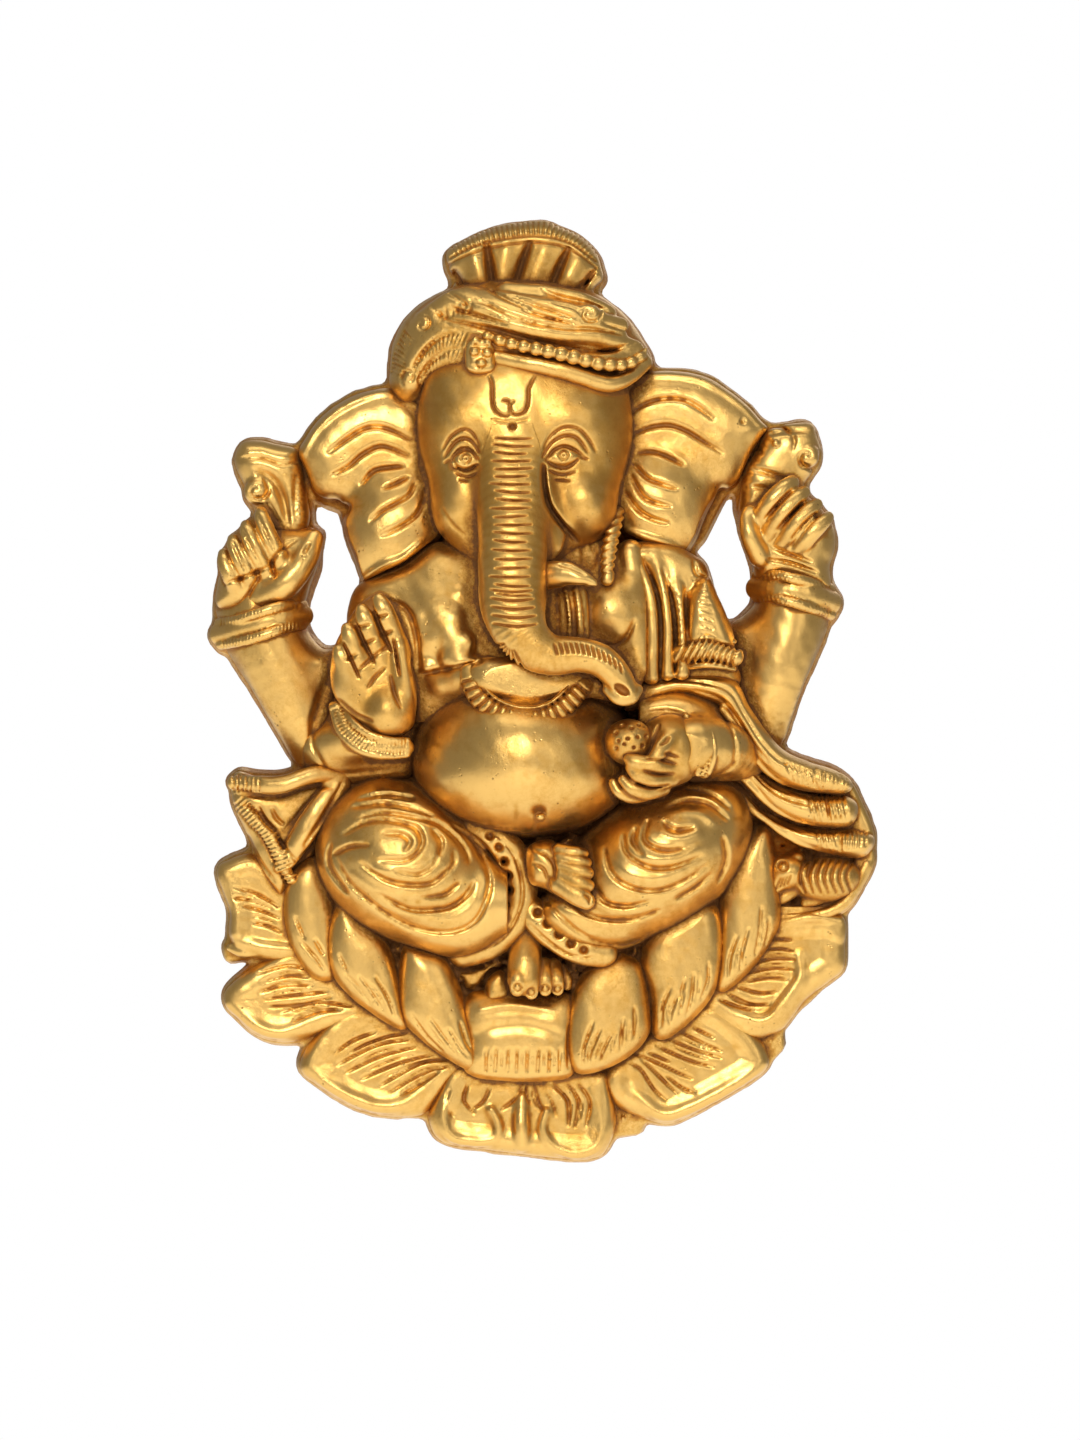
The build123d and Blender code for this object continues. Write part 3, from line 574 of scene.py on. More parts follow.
def chest(b):
    s = region(b, [(-36, 118), (-42, 128), (-52, 139), (-53.6, 147), (-51.4, 155), (-46, 158.4), (-38, 162),
                   (-31, 167),
                   (-24, 168), (-10, 172), (12, 172), (20, 167), (26, 150), (25, 128), (12, 118),
                   (-12, 116)])
    field = slab(b, s, 20 + 10 * dome(b, s, 20), edge=5)
    field = join(field, ball(b, -27, 145, 20, 12.6, 14, 12, -20), 5)       # left breast
    field = join(field, ball(b, 18.4, 148, 22, 10, 11.4, 11), 2)           # right breast
    field = join(field, slab(b, region(b, [(0, 137), (0, 156), (9, 156.6), (11.6, 150), (10.6, 137)]), 33,
                             edge=1.6), 1)
    field = join(field, tube(b, [(-15, 129, 33, 4), (-4, 126.6, 34, 4.4), (7, 128.6, 33, 4)]), 3)
    field = join(field, tube(b, [(-26, 129.6, 28, 4), (-14, 131, 34, 5), (0, 131, 35, 5), (10, 131, 33, 5),
                                 (22, 127, 28, 4)]), 4)
    field = join(field, tube(b, [(-38, 154, 19, 3), (-30, 151, 26, 3.6), (-25, 143, 30, 3.8),
                                 (-22, 133, 31, 3.4)]), 3)
    lumps = [(-33, 147, 28.6, 1.5), (-28.6, 151.4, 28.2, 1.3), (-24, 147, 31, 1.4), (-30, 141, 29.6, 1.4),
             (-22.6, 153, 28.8, 1.4),
             (-26, 136, 31.2, 1.5), (-20.6, 140.4, 32.6, 1.3), (-34.6, 138.6, 27.8, 1.3),
             (-31.4, 133.6, 29.2, 1.4)]
    field = join(field, beads(b, lumps), 2.6)
    field = join(field, tube(b, [(23, 164, 22, 4), (24.6, 150, 25, 4.4), (24.6, 134, 26, 4.4)]), 3)
    for x, r in ((6, 0.75), (8.8, 1.0)):                                   # sacred thread
        strand = along([(x - 0.6, 154, 33.2), (x + 0.3, 149, 33.6), (x + 0.6, 143, 33.6),
                        (x + 0.8, 137.6, 33.2)], 13)[0]
        field = join(field, beads(b, [(px, pz, d, r) for px, pz, d in strand]), 0.3)
    folds = [[(-44, 152), (-37.4, 149), (-34.6, 142), (-34, 133)], [(3, 154), (3.4, 146), (3.6, 138)],
             [(12, 168), (13.5, 163), (12, 159.6)],
             [(9.6, 168), (10.4, 163.6), (9.8, 160)], [(8.8, 138.4), (14, 138), (21, 140.6), (24, 146)],
             [(-33, 131.6), (-25, 133), (-17, 135)]]
    field = lines(b, field, folds, 0.75, 1.2, 14)
    return carve(field, ball(b, 12, 163.6, 31, 2.6, 4, 5), 1.6)


def chest_drape(b):
    s = region(b, [(26.4, 127), (27, 146), (25, 156), (21.4, 165.4), (26, 167.6), (34, 167), (40, 164),
                   (43.4, 161.4), (45.4, 155.6),
                   (47.4, 149.6), (50.6, 144), (51.4, 136), (51, 128)])
    field = slab(b, s, 22 + 4 * dome(b, s, 8), edge=3)
    for stations in ([(24.4, 163, 23, 2.2), (27.6, 155, 26, 2.4), (29, 144, 27, 2.4), (28.6, 131, 27, 2.3)],
                     [(29, 164, 23, 2.3), (31.8, 155, 26, 2.3), (32.8, 144, 27.4, 2.2),
                      (32.8, 132, 27.6, 2.2)],
                     [(33.6, 163, 22, 2.2), (35.4, 155, 25, 2.2), (36.6, 144, 27.4, 2.1),
                      (36.8, 132, 27.6, 2.1)]):
        field = join(field, tube(b, stations), 0.8)
    puff = pad(b, [(37, 139), (37.4, 148), (39.6, 155), (43.6, 158.4), (46.4, 153), (49.4, 146),
                   (50.8, 139), (44, 137)],
               27, 4, 6, 3, 14)
    field = join(field, puff, 0.8)
    folds = [[(26, 163), (29.4, 155), (31, 147), (31, 131)],
             [(31.6, 160), (33.8, 152), (35, 143), (34.8, 132)],
             [(37.8, 154), (38, 146), (38.6, 139)], [(40, 162), (41, 158.6), (43.6, 157.6)]]
    field = lines(b, field, folds, 0.6, 1.3, 14)
    hatch = ticks([(35, 153), (35.4, 144), (35.6, 134)], 10, 2.2,
                  0.3) + ticks([(41, 157), (43, 150), (43.6, 142)], 8, 3.4, 0.5)
    return lines(b, field, hatch, 0.35, 0.45, 16)


def rope_armlet(b):
    field = tube(b, [(36.4, 136.6, 28, 2.9), (43, 138, 31.6, 3.1), (50.4, 136.4, 28, 2.9)], flat=0.8)
    twist = [[(37.4 + 1.75 * i, 134), (38.4 + 1.75 * i, 137), (40.6 + 1.75 * i, 140.4)] for i in range(-1,
        8)]
    field = lines(b, field, twist, 0.5, 0.95, 18, ends=False)
    for z in (133.4, 140.8):
        field = join(field, tube(b, [(36, z - 0.4, 26, 0.8), (43.4, z + 0.7, 30.4, 0.9),
                                     (50.8, z - 0.4, 26, 0.8)]), 0.3)
    return field


# ------------------------------------------------------------------ front arms
def blessing_forearm(b):
    s = region(b, [(-64.6, 107.4), (-61, 117), (-57.6, 125), (-56.6, 134), (-56, 139), (-46, 142),
                   (-37, 140), (-34, 128),
                   (-33.6, 112), (-37.4, 103.4), (-50, 102), (-58, 102.6)])
    field = slab(b, s, 17 + 6 * dome(b, s, 10), edge=4)
    field = join(field, tube(b, [(-60, 112, 16, 6), (-53, 114, 21, 6.5), (-46, 117, 24, 7),
                                 (-44, 126, 24, 7)]), 3)
    seams = [[(-62.4, 119.4), (-62.4, 112), (-58.6, 105.6)],
             [(-62, 106.6), (-55, 104.8), (-46, 105.6), (-38.6, 106.6)],
             [(-57.4, 128), (-58.6, 122), (-62, 116)]]
    return lines(b, field, seams, 0.7, 0.8, 12)


def blessing_cuff(b):
    outer = [(-57, 123, 25, 1.3), (-54.8, 116.6, 28, 1.5), (-50, 112, 30.6, 1.6), (-44, 110.2, 31.4, 1.6),
             (-37.4, 110.4, 29.6, 1.5)]
    inner = [(-54.2, 123, 27, 1.2), (-51, 118, 30.5, 1.4), (-46, 114.8, 32.4, 1.4), (-40.4, 113.6, 32, 1.3),
             (-37, 113.6, 30, 1.2)]
    middle = [(-55.8, 122.6, 25.6, 1.9), (-52.8, 117, 28.6, 2.1), (-47.8, 113.2, 30.8, 2.2),
              (-41.8, 112, 31, 2.1), (-37, 112, 29, 2)]
    field = join(join(tube(b, outer), tube(b, inner), 0.3), tube(b, middle), 0.4)
    hatch = ticks([(-55.6, 122.4), (-53, 117.2), (-48, 113.5), (-42, 112), (-37.4, 112)], 26, 3.4, 0.15)
    return lines(b, field, hatch, 0.36, 0.65, 20, ends=False)


def blessing_hand(b):
    palm = pad(b, [(-57.6, 131.6), (-56.6, 126), (-52.4, 120.6), (-48, 116.8), (-43, 114.4), (-39.4, 115),
                   (-35.6, 119.4),
                   (-34.4, 127), (-35.6, 134), (-37, 141), (-40.6, 149), (-44, 153), (-49.4, 150.6),
                   (-53.6, 145),
                   (-56.6, 138.6)], 31, 2.6, 9, 3.2, 20)
    field = palm
    fingers = [[(-38.6, 137, 31, 2.7), (-41.4, 144.6, 33.4, 2.75), (-43.2, 149, 34.4, 2.5),
                (-44.4, 151.4, 34, 1.8)],
               [(-43.6, 134, 31, 2.8), (-46.6, 142, 33.6, 2.85), (-48.2, 146.4, 34.4, 2.5),
                (-48.9, 148.6, 34, 1.8)],
               [(-48, 130, 31, 2.7), (-50.8, 137.6, 33, 2.7), (-52.2, 141.8, 33.6, 2.4),
                (-52.8, 143.6, 33.2, 1.8)],
               [(-51.6, 127, 30, 2.3), (-53.6, 133, 31.6, 2.3), (-54.8, 136.4, 32, 2.0),
                (-55.4, 138, 31.6, 1.5)]]
    for finger in fingers:
        field = join(field, tube(b, finger, flat=0.8), 0.9)
    thumb = [(-38.6, 119.6, 30, 3.6), (-37.4, 126, 32, 2.6), (-37.8, 132, 33, 2.2),
             (-38.8, 138.4, 33.4, 1.9)]
    field = join(field, tube(b, thumb), 2.4)
    field = join(field, ball(b, -42, 121.6, 31.4, 5.6, 6.2, 5), 2)
    creases = [[(-41.6, 139.2), (-45.6, 136.4), (-50.4, 132.2)],
               [(-42.8, 133.4), (-45.4, 131), (-47.4, 128)],
               [(-41.4, 131.4), (-40.2, 126.4), (-38.4, 122.4)], [(-55, 124.6), (-50.6, 121), (-46, 119)],
               [(-40.6, 143.2), (-44, 141.8)], [(-45.2, 141), (-49, 139.4)], [(-50, 137), (-53, 135.4)],
               [(-41.8, 147.6), (-45.4, 146.4)], [(-46.6, 145), (-50.2, 143.8)]]
    field = lines(b, field, creases, 0.5, 0.75, 25)
    gaps = [[(-40.8, 137.4), (-43.8, 143.4), (-45.6, 148.4)],
            [(-45.6, 134.6), (-48.6, 140.6), (-50.4, 145)],
            [(-49.6, 130.6), (-52, 136), (-53.8, 140)], [(-38.8, 131), (-39.8, 137), (-40.6, 141)]]
    return lines(b, field, gaps, 0.42, 1.3, 22)


def sweet_forearm(b):
    s = region(b, [(22, 122), (24, 126), (36, 128), (46, 124), (51, 117), (55, 110.6), (51.4, 104),
                   (44, 102.4),
                   (34, 103), (25, 104)])
    field = slab(b, s, 24 + 8 * dome(b, s, 9), edge=4)
    field = join(field, tube(b, [(54, 109, 20, 6), (47, 112, 28, 7.4), (40, 112.4, 32, 8),
                                 (34, 111, 33, 8)]), 3)
    folds = [[(25, 120.6), (32, 121.8), (38.4, 120.4)],
             [(46, 104.4), (50.6, 108), (50, 116), (46.6, 121.6)],
             [(40.6, 104.6), (44.6, 103.4), (50, 104.6)]]
    return lines(b, field, folds, 0.6, 0.8, 14)


def sweet_bracelet(b):
    bows = []
    for shift, r in ((0, 1.1), (2.1, 0.9), (4.1, 0.8)):
        bows.append(tube(b, [(37.6 + shift, 120.2 - shift * 0.5, 33.4, r), (40.6 + shift * 0.9, 116, 37, r),
                             (41.7 + shift * 0.85, 110.4, 38, r), (40.8 + shift * 0.7, 105.2, 36.4, r)]))
    web = tube(b, [(39.4, 119.2, 32.2, 1.8), (42.6, 115.4, 35.4, 1.9), (43.6, 110.2, 36.2, 1.9),
                   (42.4, 105.4, 34.6, 1.8)])
    field = join(join(join(bows[0], bows[1], 0.3), bows[2], 0.3), web, 0.4)
    hatch = ticks([(38.8, 120), (41.8, 115.8), (42.8, 110.4), (41.8, 105.4)], 15, 2.0, 0.2)
    return lines(b, field, hatch, 0.36, 0.6, 26, ends=False)


def sweet_hand(b):
    back = pad(b, [(26.4, 117.4), (30, 119.8), (34, 120.4), (38.4, 118.2), (41, 113), (41, 107),
                   (38.4, 103.2),
                   (33, 101), (27, 99.6), (23, 100.6), (22, 106), (25, 112)], 36, 4.4, 8, 4, 22)
    field = join(back, ball(b, 34, 112, 33, 7.4, 8, 8.6), 2.5)
    fingers = [[(34, 106.6, 37.6, 2.6), (29.4, 107, 41.4, 2.5), (24.6, 108, 42.6, 2.2),
                (22.4, 109, 42, 1.6)],
               [(33.6, 103.8, 36.6, 2.4), (29, 103.2, 40.4, 2.4), (25, 104.6, 41.8, 2.1),
                (22.8, 106.6, 41.4, 1.5)],
               [(31.4, 101.2, 35.4, 2.2), (27, 100.2, 39, 2.2), (23.2, 101.2, 40.4, 1.9),
                (20.8, 103.4, 40, 1.4)],
               [(27.6, 99.8, 34, 1.9), (23.4, 98.8, 37, 1.8), (19.8, 100, 38, 1.6),
                (18.2, 102.6, 37.6, 1.3)]]
    for finger in fingers:
        field = join(field, tube(b, finger), 0.9)
    thumb = [(33.4, 114.6, 38.6, 2.9), (31, 112, 41.6, 2.4), (29.4, 109.4, 43, 2.0), (28.4, 107.6, 43, 1.5)]
    field = join(field, tube(b, thumb), 0.9)
    nails = [[(31.6, 113.6), (33.2, 114.8)], [(30.4, 112.6), (33, 114)],
             [(35, 107.6), (31, 108.6), (27, 109)],
             [(34.4, 105), (30, 105), (26, 106)], [(33, 102), (28, 101.4), (24, 102.6)],
             [(31.6, 110.6), (35.6, 109.4)],
             [(30.4, 118), (28.6, 113.6), (27.6, 111)]]
    return lines(b, field, nails, 0.45, 0.8, 26)


def sweet_bowl(b):
    field = ball(b, 22.4, 113.4, 36, 6.6, 6.2, 7.4, -12)
    spots = [(18.8, 111.8), (18.8, 115.9), (20.9, 112.9), (21.4, 109.6), (21.9, 114.4), (22.9, 117.2),
             (23.6, 112),
             (24.6, 114.8), (25.9, 112.4), (26.6, 117.6), (25, 118.2), (27, 115), (20.4, 117.8),
             (22.6, 107.9), (19.4, 113.8)]
    for x, z in spots:
        rise = 7.2 * math.sqrt(max(0.0, 1 - ((x - 22.4) / 6.6) ** 2 - ((z - 113.4) / 6.2) ** 2))
        field = carve(field, ball(b, x, z, 36.6 + rise, 0.62, 0.62, 1.5), 0.25)
    return field


# ------------------------------------------------------------------ rear arms
def rear_arm_left(b):
    s = region(b, [(-57, 103.4), (-66.4, 107.4), (-73, 117.4), (-80, 128.4), (-84.2, 134.4), (-87.2, 139.6),
                   (-88.8, 146),
                   (-89, 151), (-80, 153), (-66, 151.6), (-65.3, 146), (-63.6, 142), (-60.6, 138.8),
                   (-57.4, 138.8),
                   (-55, 140.4), (-53, 136), (-55.6, 124), (-58, 112)])
    field = slab(b, s, 13.5 + 6.5 * dome(b, s, 12), edge=5)
    field = join(field, tube(b, [(-62, 112, 12, 6), (-69, 124, 15, 7), (-75, 138, 15.4, 8),
                                 (-77.4, 150, 14.6, 8)], flat=0.9), 4)
    return lines(b, field, [[(-62.8, 110.8), (-62.6, 118), (-60.4, 125), (-58.4, 131), (-58.6, 136.4)]],
                 1.1, 1.4, 10)


def bangles(b, paths, depth_line):
    field = None
    for path in paths:
        ring = tube(b, [(x, z, d, 1.45) for (x, z), d in zip(path, depth_line)])
        field = ring if field is None else join(field, ring, 0.2)
    for path in paths:
        field = lines(b, field, ticks(path, 24, 1.6, 0.2, 0.04, 0.96), 0.32, 0.45, 12, ends=False)
    return field


def bangles_left(b):
    ground = tube(b, [(-88, 142.6, 12, 3.2), (-80, 144.4, 20, 3.6), (-72, 146.8, 20.6, 3.6),
                      (-66, 147.6, 14, 3.2)], flat=0.8)
    rings = bangles(b, [[(-88.4, 145.6), (-82, 146.6), (-75, 148.8), (-69.6, 150.2), (-65.8, 150.6)],
                        [(-88, 139.8), (-81.6, 140.6), (-75, 142.4), (-69.8, 144.2), (-65.6, 145.2)]],
                    [13, 22, 24.6, 22, 14])
    return join(ground, rings, 0.4)


def rear_hand_left(b):
    field = pad(b, [(-88.6, 150), (-88.8, 156), (-87, 160.4), (-82, 164), (-77, 169.4), (-72, 171),
                    (-66.6, 171), (-63, 171.4),
                    (-60.8, 168), (-61.6, 162), (-63.6, 156.4), (-65.2, 151.4), (-67, 149), (-80, 148)],
                17.5, 5, 12, 4)
    fingers = [[(-82.4, 153.6, 19, 2.4), (-84.8, 158, 21.6, 2.3), (-86.4, 162, 21.4, 2.0),
                (-86.8, 164.2, 20, 1.5)],
               [(-78.6, 156, 20, 2.6), (-81.4, 161.4, 23, 2.5), (-83.6, 166, 22.6, 2.1),
                (-84.2, 168, 21, 1.6)],
               [(-74.6, 158.4, 20.4, 2.7), (-77.6, 164.4, 23.8, 2.6), (-80, 169.6, 23.4, 2.2),
                (-80.6, 171.6, 21.6, 1.7)],
               [(-70.6, 160.4, 20.4, 2.8), (-73.6, 167, 23.8, 2.6), (-76, 173, 23, 2.2),
                (-76.6, 175.2, 21.2, 1.7)]]
    for finger in fingers:
        field = join(field, tube(b, finger), 0.7)
    field = join(field, tube(b, [(-76, 152.6, 19, 4), (-69.6, 156.4, 21.6, 4), (-64.6, 163, 20.6, 3.4),
                                 (-62.4, 168.4, 18.4, 2.6)]), 1.6)
    creases = [[(-86, 156), (-80.6, 158), (-74.4, 160.4)], [(-77, 158), (-79.4, 154), (-82, 149.8)],
               [(-67, 168), (-71, 165), (-73.6, 161.4), (-72.6, 157.6)],
               [(-80.2, 158.6), (-82.6, 164), (-84.2, 167.4)],
               [(-76.4, 161), (-79.6, 167), (-81.4, 170.4)], [(-72.6, 164.6), (-75.6, 171), (-77.4, 174.4)],
               [(-65, 164), (-63.4, 167)]]
    return lines(b, field, creases, 0.5, 0.95, 14)


def emblem_left(b):
    s = region(b, [(-67.6, 192.8), (-73, 194.3), (-77.5, 195.2), (-82.2, 194.8), (-84.3, 191),
                   (-83.8, 187.4), (-81.6, 183),
                   (-79.6, 178), (-78, 174.4), (-75, 172), (-71, 168), (-66, 168), (-64, 174), (-64.6, 179),
                   (-65.4, 184),
                   (-66.2, 189)])
    field = slab(b, s, 13.5 + 4 * dome(b, s, 7), edge=2.4)
    field = lines(b, field, [[(-78, 187), (-73.4, 184), (-70.8, 179), (-69.6, 172.5)]], 1.5, 1.7, 8)
    field = lines(b, field, [[(-83, 190), (-77, 190.4), (-71, 188.6), (-67, 189.6)],
                             [(-67.4, 186), (-67.8, 179), (-67.4, 173)],
                             [(-75.4, 178), (-73.6, 174.6), (-71.4, 172)]], 0.7, 0.9, 8)
    spiral = [(-78 + (0.4 + 0.5 * i) * math.cos(0.9 * i + 1),
               181.4 + (0.4 + 0.45 * i) * math.sin(0.9 * i + 1)) for i in range(8)]
    field = join(field, ball(b, -78, 181.2, 15.6, 3.6, 3.6, 3.2), 0.8)
    field = lines(b, field, [spiral], 0.5, 1.0, 8)
    return lines(b, field, ticks([(-68.4, 190.6), (-67.4, 184), (-66.2, 178), (-66.4, 172)], 12, 2.2, 0.2),
                 0.34, 0.4, 8)


def rear_arm_right(b):
    s = region(b, [(49, 129), (49.4, 136), (49.4, 144), (50.8, 145.6), (54.6, 148.2), (57.2, 151.6),
                   (57.4, 158),
                   (66, 160), (77.2, 157), (77.8, 152), (77.4, 147.4), (75.9, 141.6), (73, 135),
                   (69.8, 129), (66, 121),
                   (63.6, 114), (62.6, 107), (56, 110)])
    field = slab(b, s, 13.5 + 6 * dome(b, s, 11), edge=5)
    return join(field, tube(b, [(60, 118, 13, 6), (62.4, 130, 15.6, 7.6), (66, 142, 15.8, 8),
                                (67.6, 154, 15, 8)], flat=0.9), 4)


def bangles_right(b):
    ground = tube(b, [(57.6, 155, 13, 3.2), (64, 154.4, 20.4, 3.6), (71, 153, 20.6, 3.6),
                      (77.4, 151.4, 13, 3.2)], flat=0.8)
    rings = bangles(b, [[(57.4, 158.6), (62, 158.4), (67, 157.4), (72, 156.2), (77.4, 155)],
                        [(57.4, 152.6), (62, 152.2), (67, 150.8), (72, 149.4), (77.6, 147.8)]],
                    [13, 22, 24.8, 22, 13])
    return join(ground, rings, 0.4)


def rear_hand_right(b):
    field = pad(b, [(53.6, 177), (53.2, 171.6), (56, 163.4), (57.2, 157.4), (62, 156), (72, 154),
                    (77.2, 155), (77.2, 161),
                    (78.6, 165.4), (78.6, 170), (77, 174), (73.6, 178), (70, 181), (66, 184), (60, 180)],
                17.5, 5, 12, 4)
    fingers = [[(57.4, 172.6, 20, 2.7), (60.4, 177.4, 23.8, 2.7), (64.2, 181.4, 24, 2.5),
                (66.6, 183.4, 22, 1.9)],
               [(60.4, 169.6, 20.6, 2.7), (63.6, 174.6, 24.2, 2.7), (67.4, 178.6, 24.2, 2.4),
                (69.8, 180.6, 22.2, 1.8)],
               [(64, 167.2, 20.8, 2.6), (67.4, 172, 24.2, 2.6), (71, 175.6, 24, 2.3),
                (73.2, 177.4, 22, 1.7)],
               [(68, 165, 20.4, 2.5), (71.4, 169.2, 23.4, 2.4), (74.6, 172.4, 23, 2.1),
                (76.4, 174, 21, 1.6)]]
    for finger in fingers:
        field = join(field, tube(b, finger), 0.6)
    thumb = [(58, 163.6, 20, 3.2), (55.4, 168.6, 22.4, 2.7), (54.6, 173, 22, 2.2), (55, 175.6, 20.6, 1.7)]
    field = join(field, tube(b, thumb), 1.2)
    creases = [[(59.2, 173.4), (63.6, 178.4), (66.4, 181.4)], [(62.4, 170.4), (66.8, 175.4), (69.6, 178.4)],
               [(66.2, 168), (70, 172.6), (73, 175.2)], [(61.6, 165.8), (66.4, 163.8), (72, 161.8)],
               [(60, 162.6), (66, 161.6), (74, 158.8)]]
    return lines(b, field, creases, 0.5, 1.0, 15)


def emblem_right(b):
    s = region(b, [(53, 175), (53.2, 181), (54, 187), (57, 192), (60.4, 198.2), (64, 199.4), (68, 199.9),
                   (72.4, 199.8),
                   (73.8, 196.5), (75, 192), (74.2, 189), (72.2, 186), (70.4, 183.5), (70, 180), (64, 178),
                   (58, 173)])
    field = slab(b, s, 13.5 + 4 * dome(b, s, 7), edge=2.4)
    eye = [(62.5 + 5 * math.cos(a), 194.6 + 4.4 * math.sin(a)) for a in np.radians(range(-30, 250, 28))]
    curl = [(71 + (0.5 + 0.42 * i) * math.cos(0.85 * i),
             190.4 + (0.5 + 0.42 * i) * math.sin(0.85 * i)) for i in range(9)]
    field = join(field, ball(b, 71, 190.4, 15.4, 3.8, 3.8, 3.2), 0.8)
    field = lines(b, field, [eye, curl], 0.6, 1.05, 8)
    field = lines(b, field, [[(56, 187.5), (62, 185.6), (68, 182.4)],
                             [(60.6, 196.6), (66, 197.6), (72, 197.4)],
                             [(56, 182.6), (61, 181.4), (65.4, 179)]], 0.8, 1.2, 8)
    field = join(field, ball(b, 62.5, 194.2, 17, 1.0), 0.2)
    return lines(b, field, ticks([(54.8, 180), (55.4, 186), (58.6, 192), (61.6, 197)], 10, 2.0, 0.2), 0.34,
                 0.4, 8)


# ------------------------------------------------------------------ shawls
def shawl_right(b):
    whole = region(b, [(50, 130.6), (55, 123), (60, 115.4), (64.6, 111), (71, 108), (78.6, 105.6),
                       (83.6, 102), (86, 97.4),
                       (88.6, 91.4), (89.6, 86.4), (88, 83), (84.6, 81.8), (71, 84.2), (64.6, 87.2),
                       (60, 90.8), (54.6, 95),
                       (49, 102.2), (44, 108), (38, 114), (30, 118), (22, 120), (22, 127.4), (30, 130),
                       (40, 132)])
    field = slab(b, whole, 14, edge=2)
    bands = [([(22, 127.6), (36, 131.6), (50, 130.8), (55.1, 123), (60.1, 115.6), (64.6, 111), (71.1, 108),
               (78.6, 105.6),
               (82.8, 102.6), (81.1, 99.6), (72.1, 100), (66.1, 101.6), (61.1, 104), (57.1, 107.6),
               (53.6, 112.6), (50.1, 118.6),
               (47.1, 122.6), (42, 124.4), (36, 125.8), (30, 124.2), (22, 121.6)], 24, 4.5),
             ([(48, 116), (53.4, 111.6), (57.4, 106.6), (61.6, 103), (66.6, 100.8), (72.6, 99.3),
               (81.4, 98.8), (84.6, 95.6),
               (82.1, 90.6), (72.1, 91), (66.1, 92.6), (60.1, 96), (55.6, 100.6), (51.1, 105.6), (47, 110)],
              20, 4),
             ([(46, 108.6), (51, 104.4), (55.4, 99.6), (59.8, 95.2), (66, 91.8), (72.4, 90.2), (82.4, 89.8),
               (88.8, 88),
               (88.6, 84.4), (84.6, 82), (71.1, 84.4), (64.6, 87.6), (60.1, 91), (54.6, 95.2),
               (49.1, 102.6)], 16, 4)]
    for points, front, crown in bands:
        field = join(field, pad(b, points, front, crown, 4.5, 2.2), 0.5)
    rims = [[(47.6, 122.2, 26, 1.1), (50.6, 118.4, 27, 1.1), (54, 112.8, 26, 1.1), (57.6, 107.8, 25, 1.1),
             (61.6, 104.4, 24, 1.1),
             (66.6, 102, 22, 1.0), (72.6, 100.6, 21, 0.9), (80, 100.2, 18, 0.9)],
            [(51.6, 105.8, 22, 1.0), (56, 101, 22, 1.0), (60.6, 96.6, 21, 1.0), (66.6, 93.2, 20, 1.0),
             (72.6, 91.6, 19, 0.9),
             (81.4, 91.2, 16, 0.9)],
            [(49.6, 103, 18, 1.0), (55, 95.8, 18, 1.0), (60.6, 91.8, 18, 1.0), (65, 88.4, 18, 1.0),
             (71.4, 85.4, 17, 1.0),
             (84.4, 82.8, 14, 1.0)]]
    for rim in rims:
        field = join(field, tube(b, rim, parts=4), 0.5)
    folds = [[(33, 130), (42, 129.4), (49.4, 127), (53.6, 120.4), (58, 113.4), (63, 108.4), (70, 105.4)],
             [(40, 127.4), (47, 125), (51, 120.6), (55.4, 113.6), (60, 108)],
             [(53.6, 108.6), (58.6, 102.4), (64.4, 98.4), (71, 96.4)],
             [(56.4, 107), (61, 101.6), (66.4, 99.2)],
             [(52, 101.6), (57, 96.6), (63, 91.8), (70, 88.8)],
             [(72.6, 106.6), (72.4, 101)], [(79, 105), (78.6, 100.4)], [(76, 98.4), (76.4, 91.6)],
             [(79.4, 88.6), (79.6, 84)]]
    field = lines(b, field, folds, 0.5, 0.85, 12)
    hatch = ([[(67.2 + 1.3 * i, 107 - 0.5 * i), (69.2 + 1.3 * i, 102.4 - 0.4 * i)] for i in range(-2, 4)]
             + [[(73.4 + 1.1 * i, 105.4 - 0.3 * i), (73.4 + 1.1 * i, 101.2)] for i in range(5)]
             + [[(79.8 + 1.1 * i, 104 - 0.6 * i), (79.6 + 0.8 * i, 101)] for i in range(2)]
             + [[(71 + 1.5 * i, 98.6), (72.4 + 1.5 * i, 92.4)] for i in range(7)]
             + [[(73.4 + 1.5 * i, 89.2), (74.4 + 1.5 * i, 85.2)] for i in range(4)]
             + [[(80.2 + 1.3 * i, 88.8), (80 + 1.3 * i, 84 + 0.3 * i)] for i in range(6)])
    return lines(b, field, hatch, 0.36, 0.7, 12, ends=False)


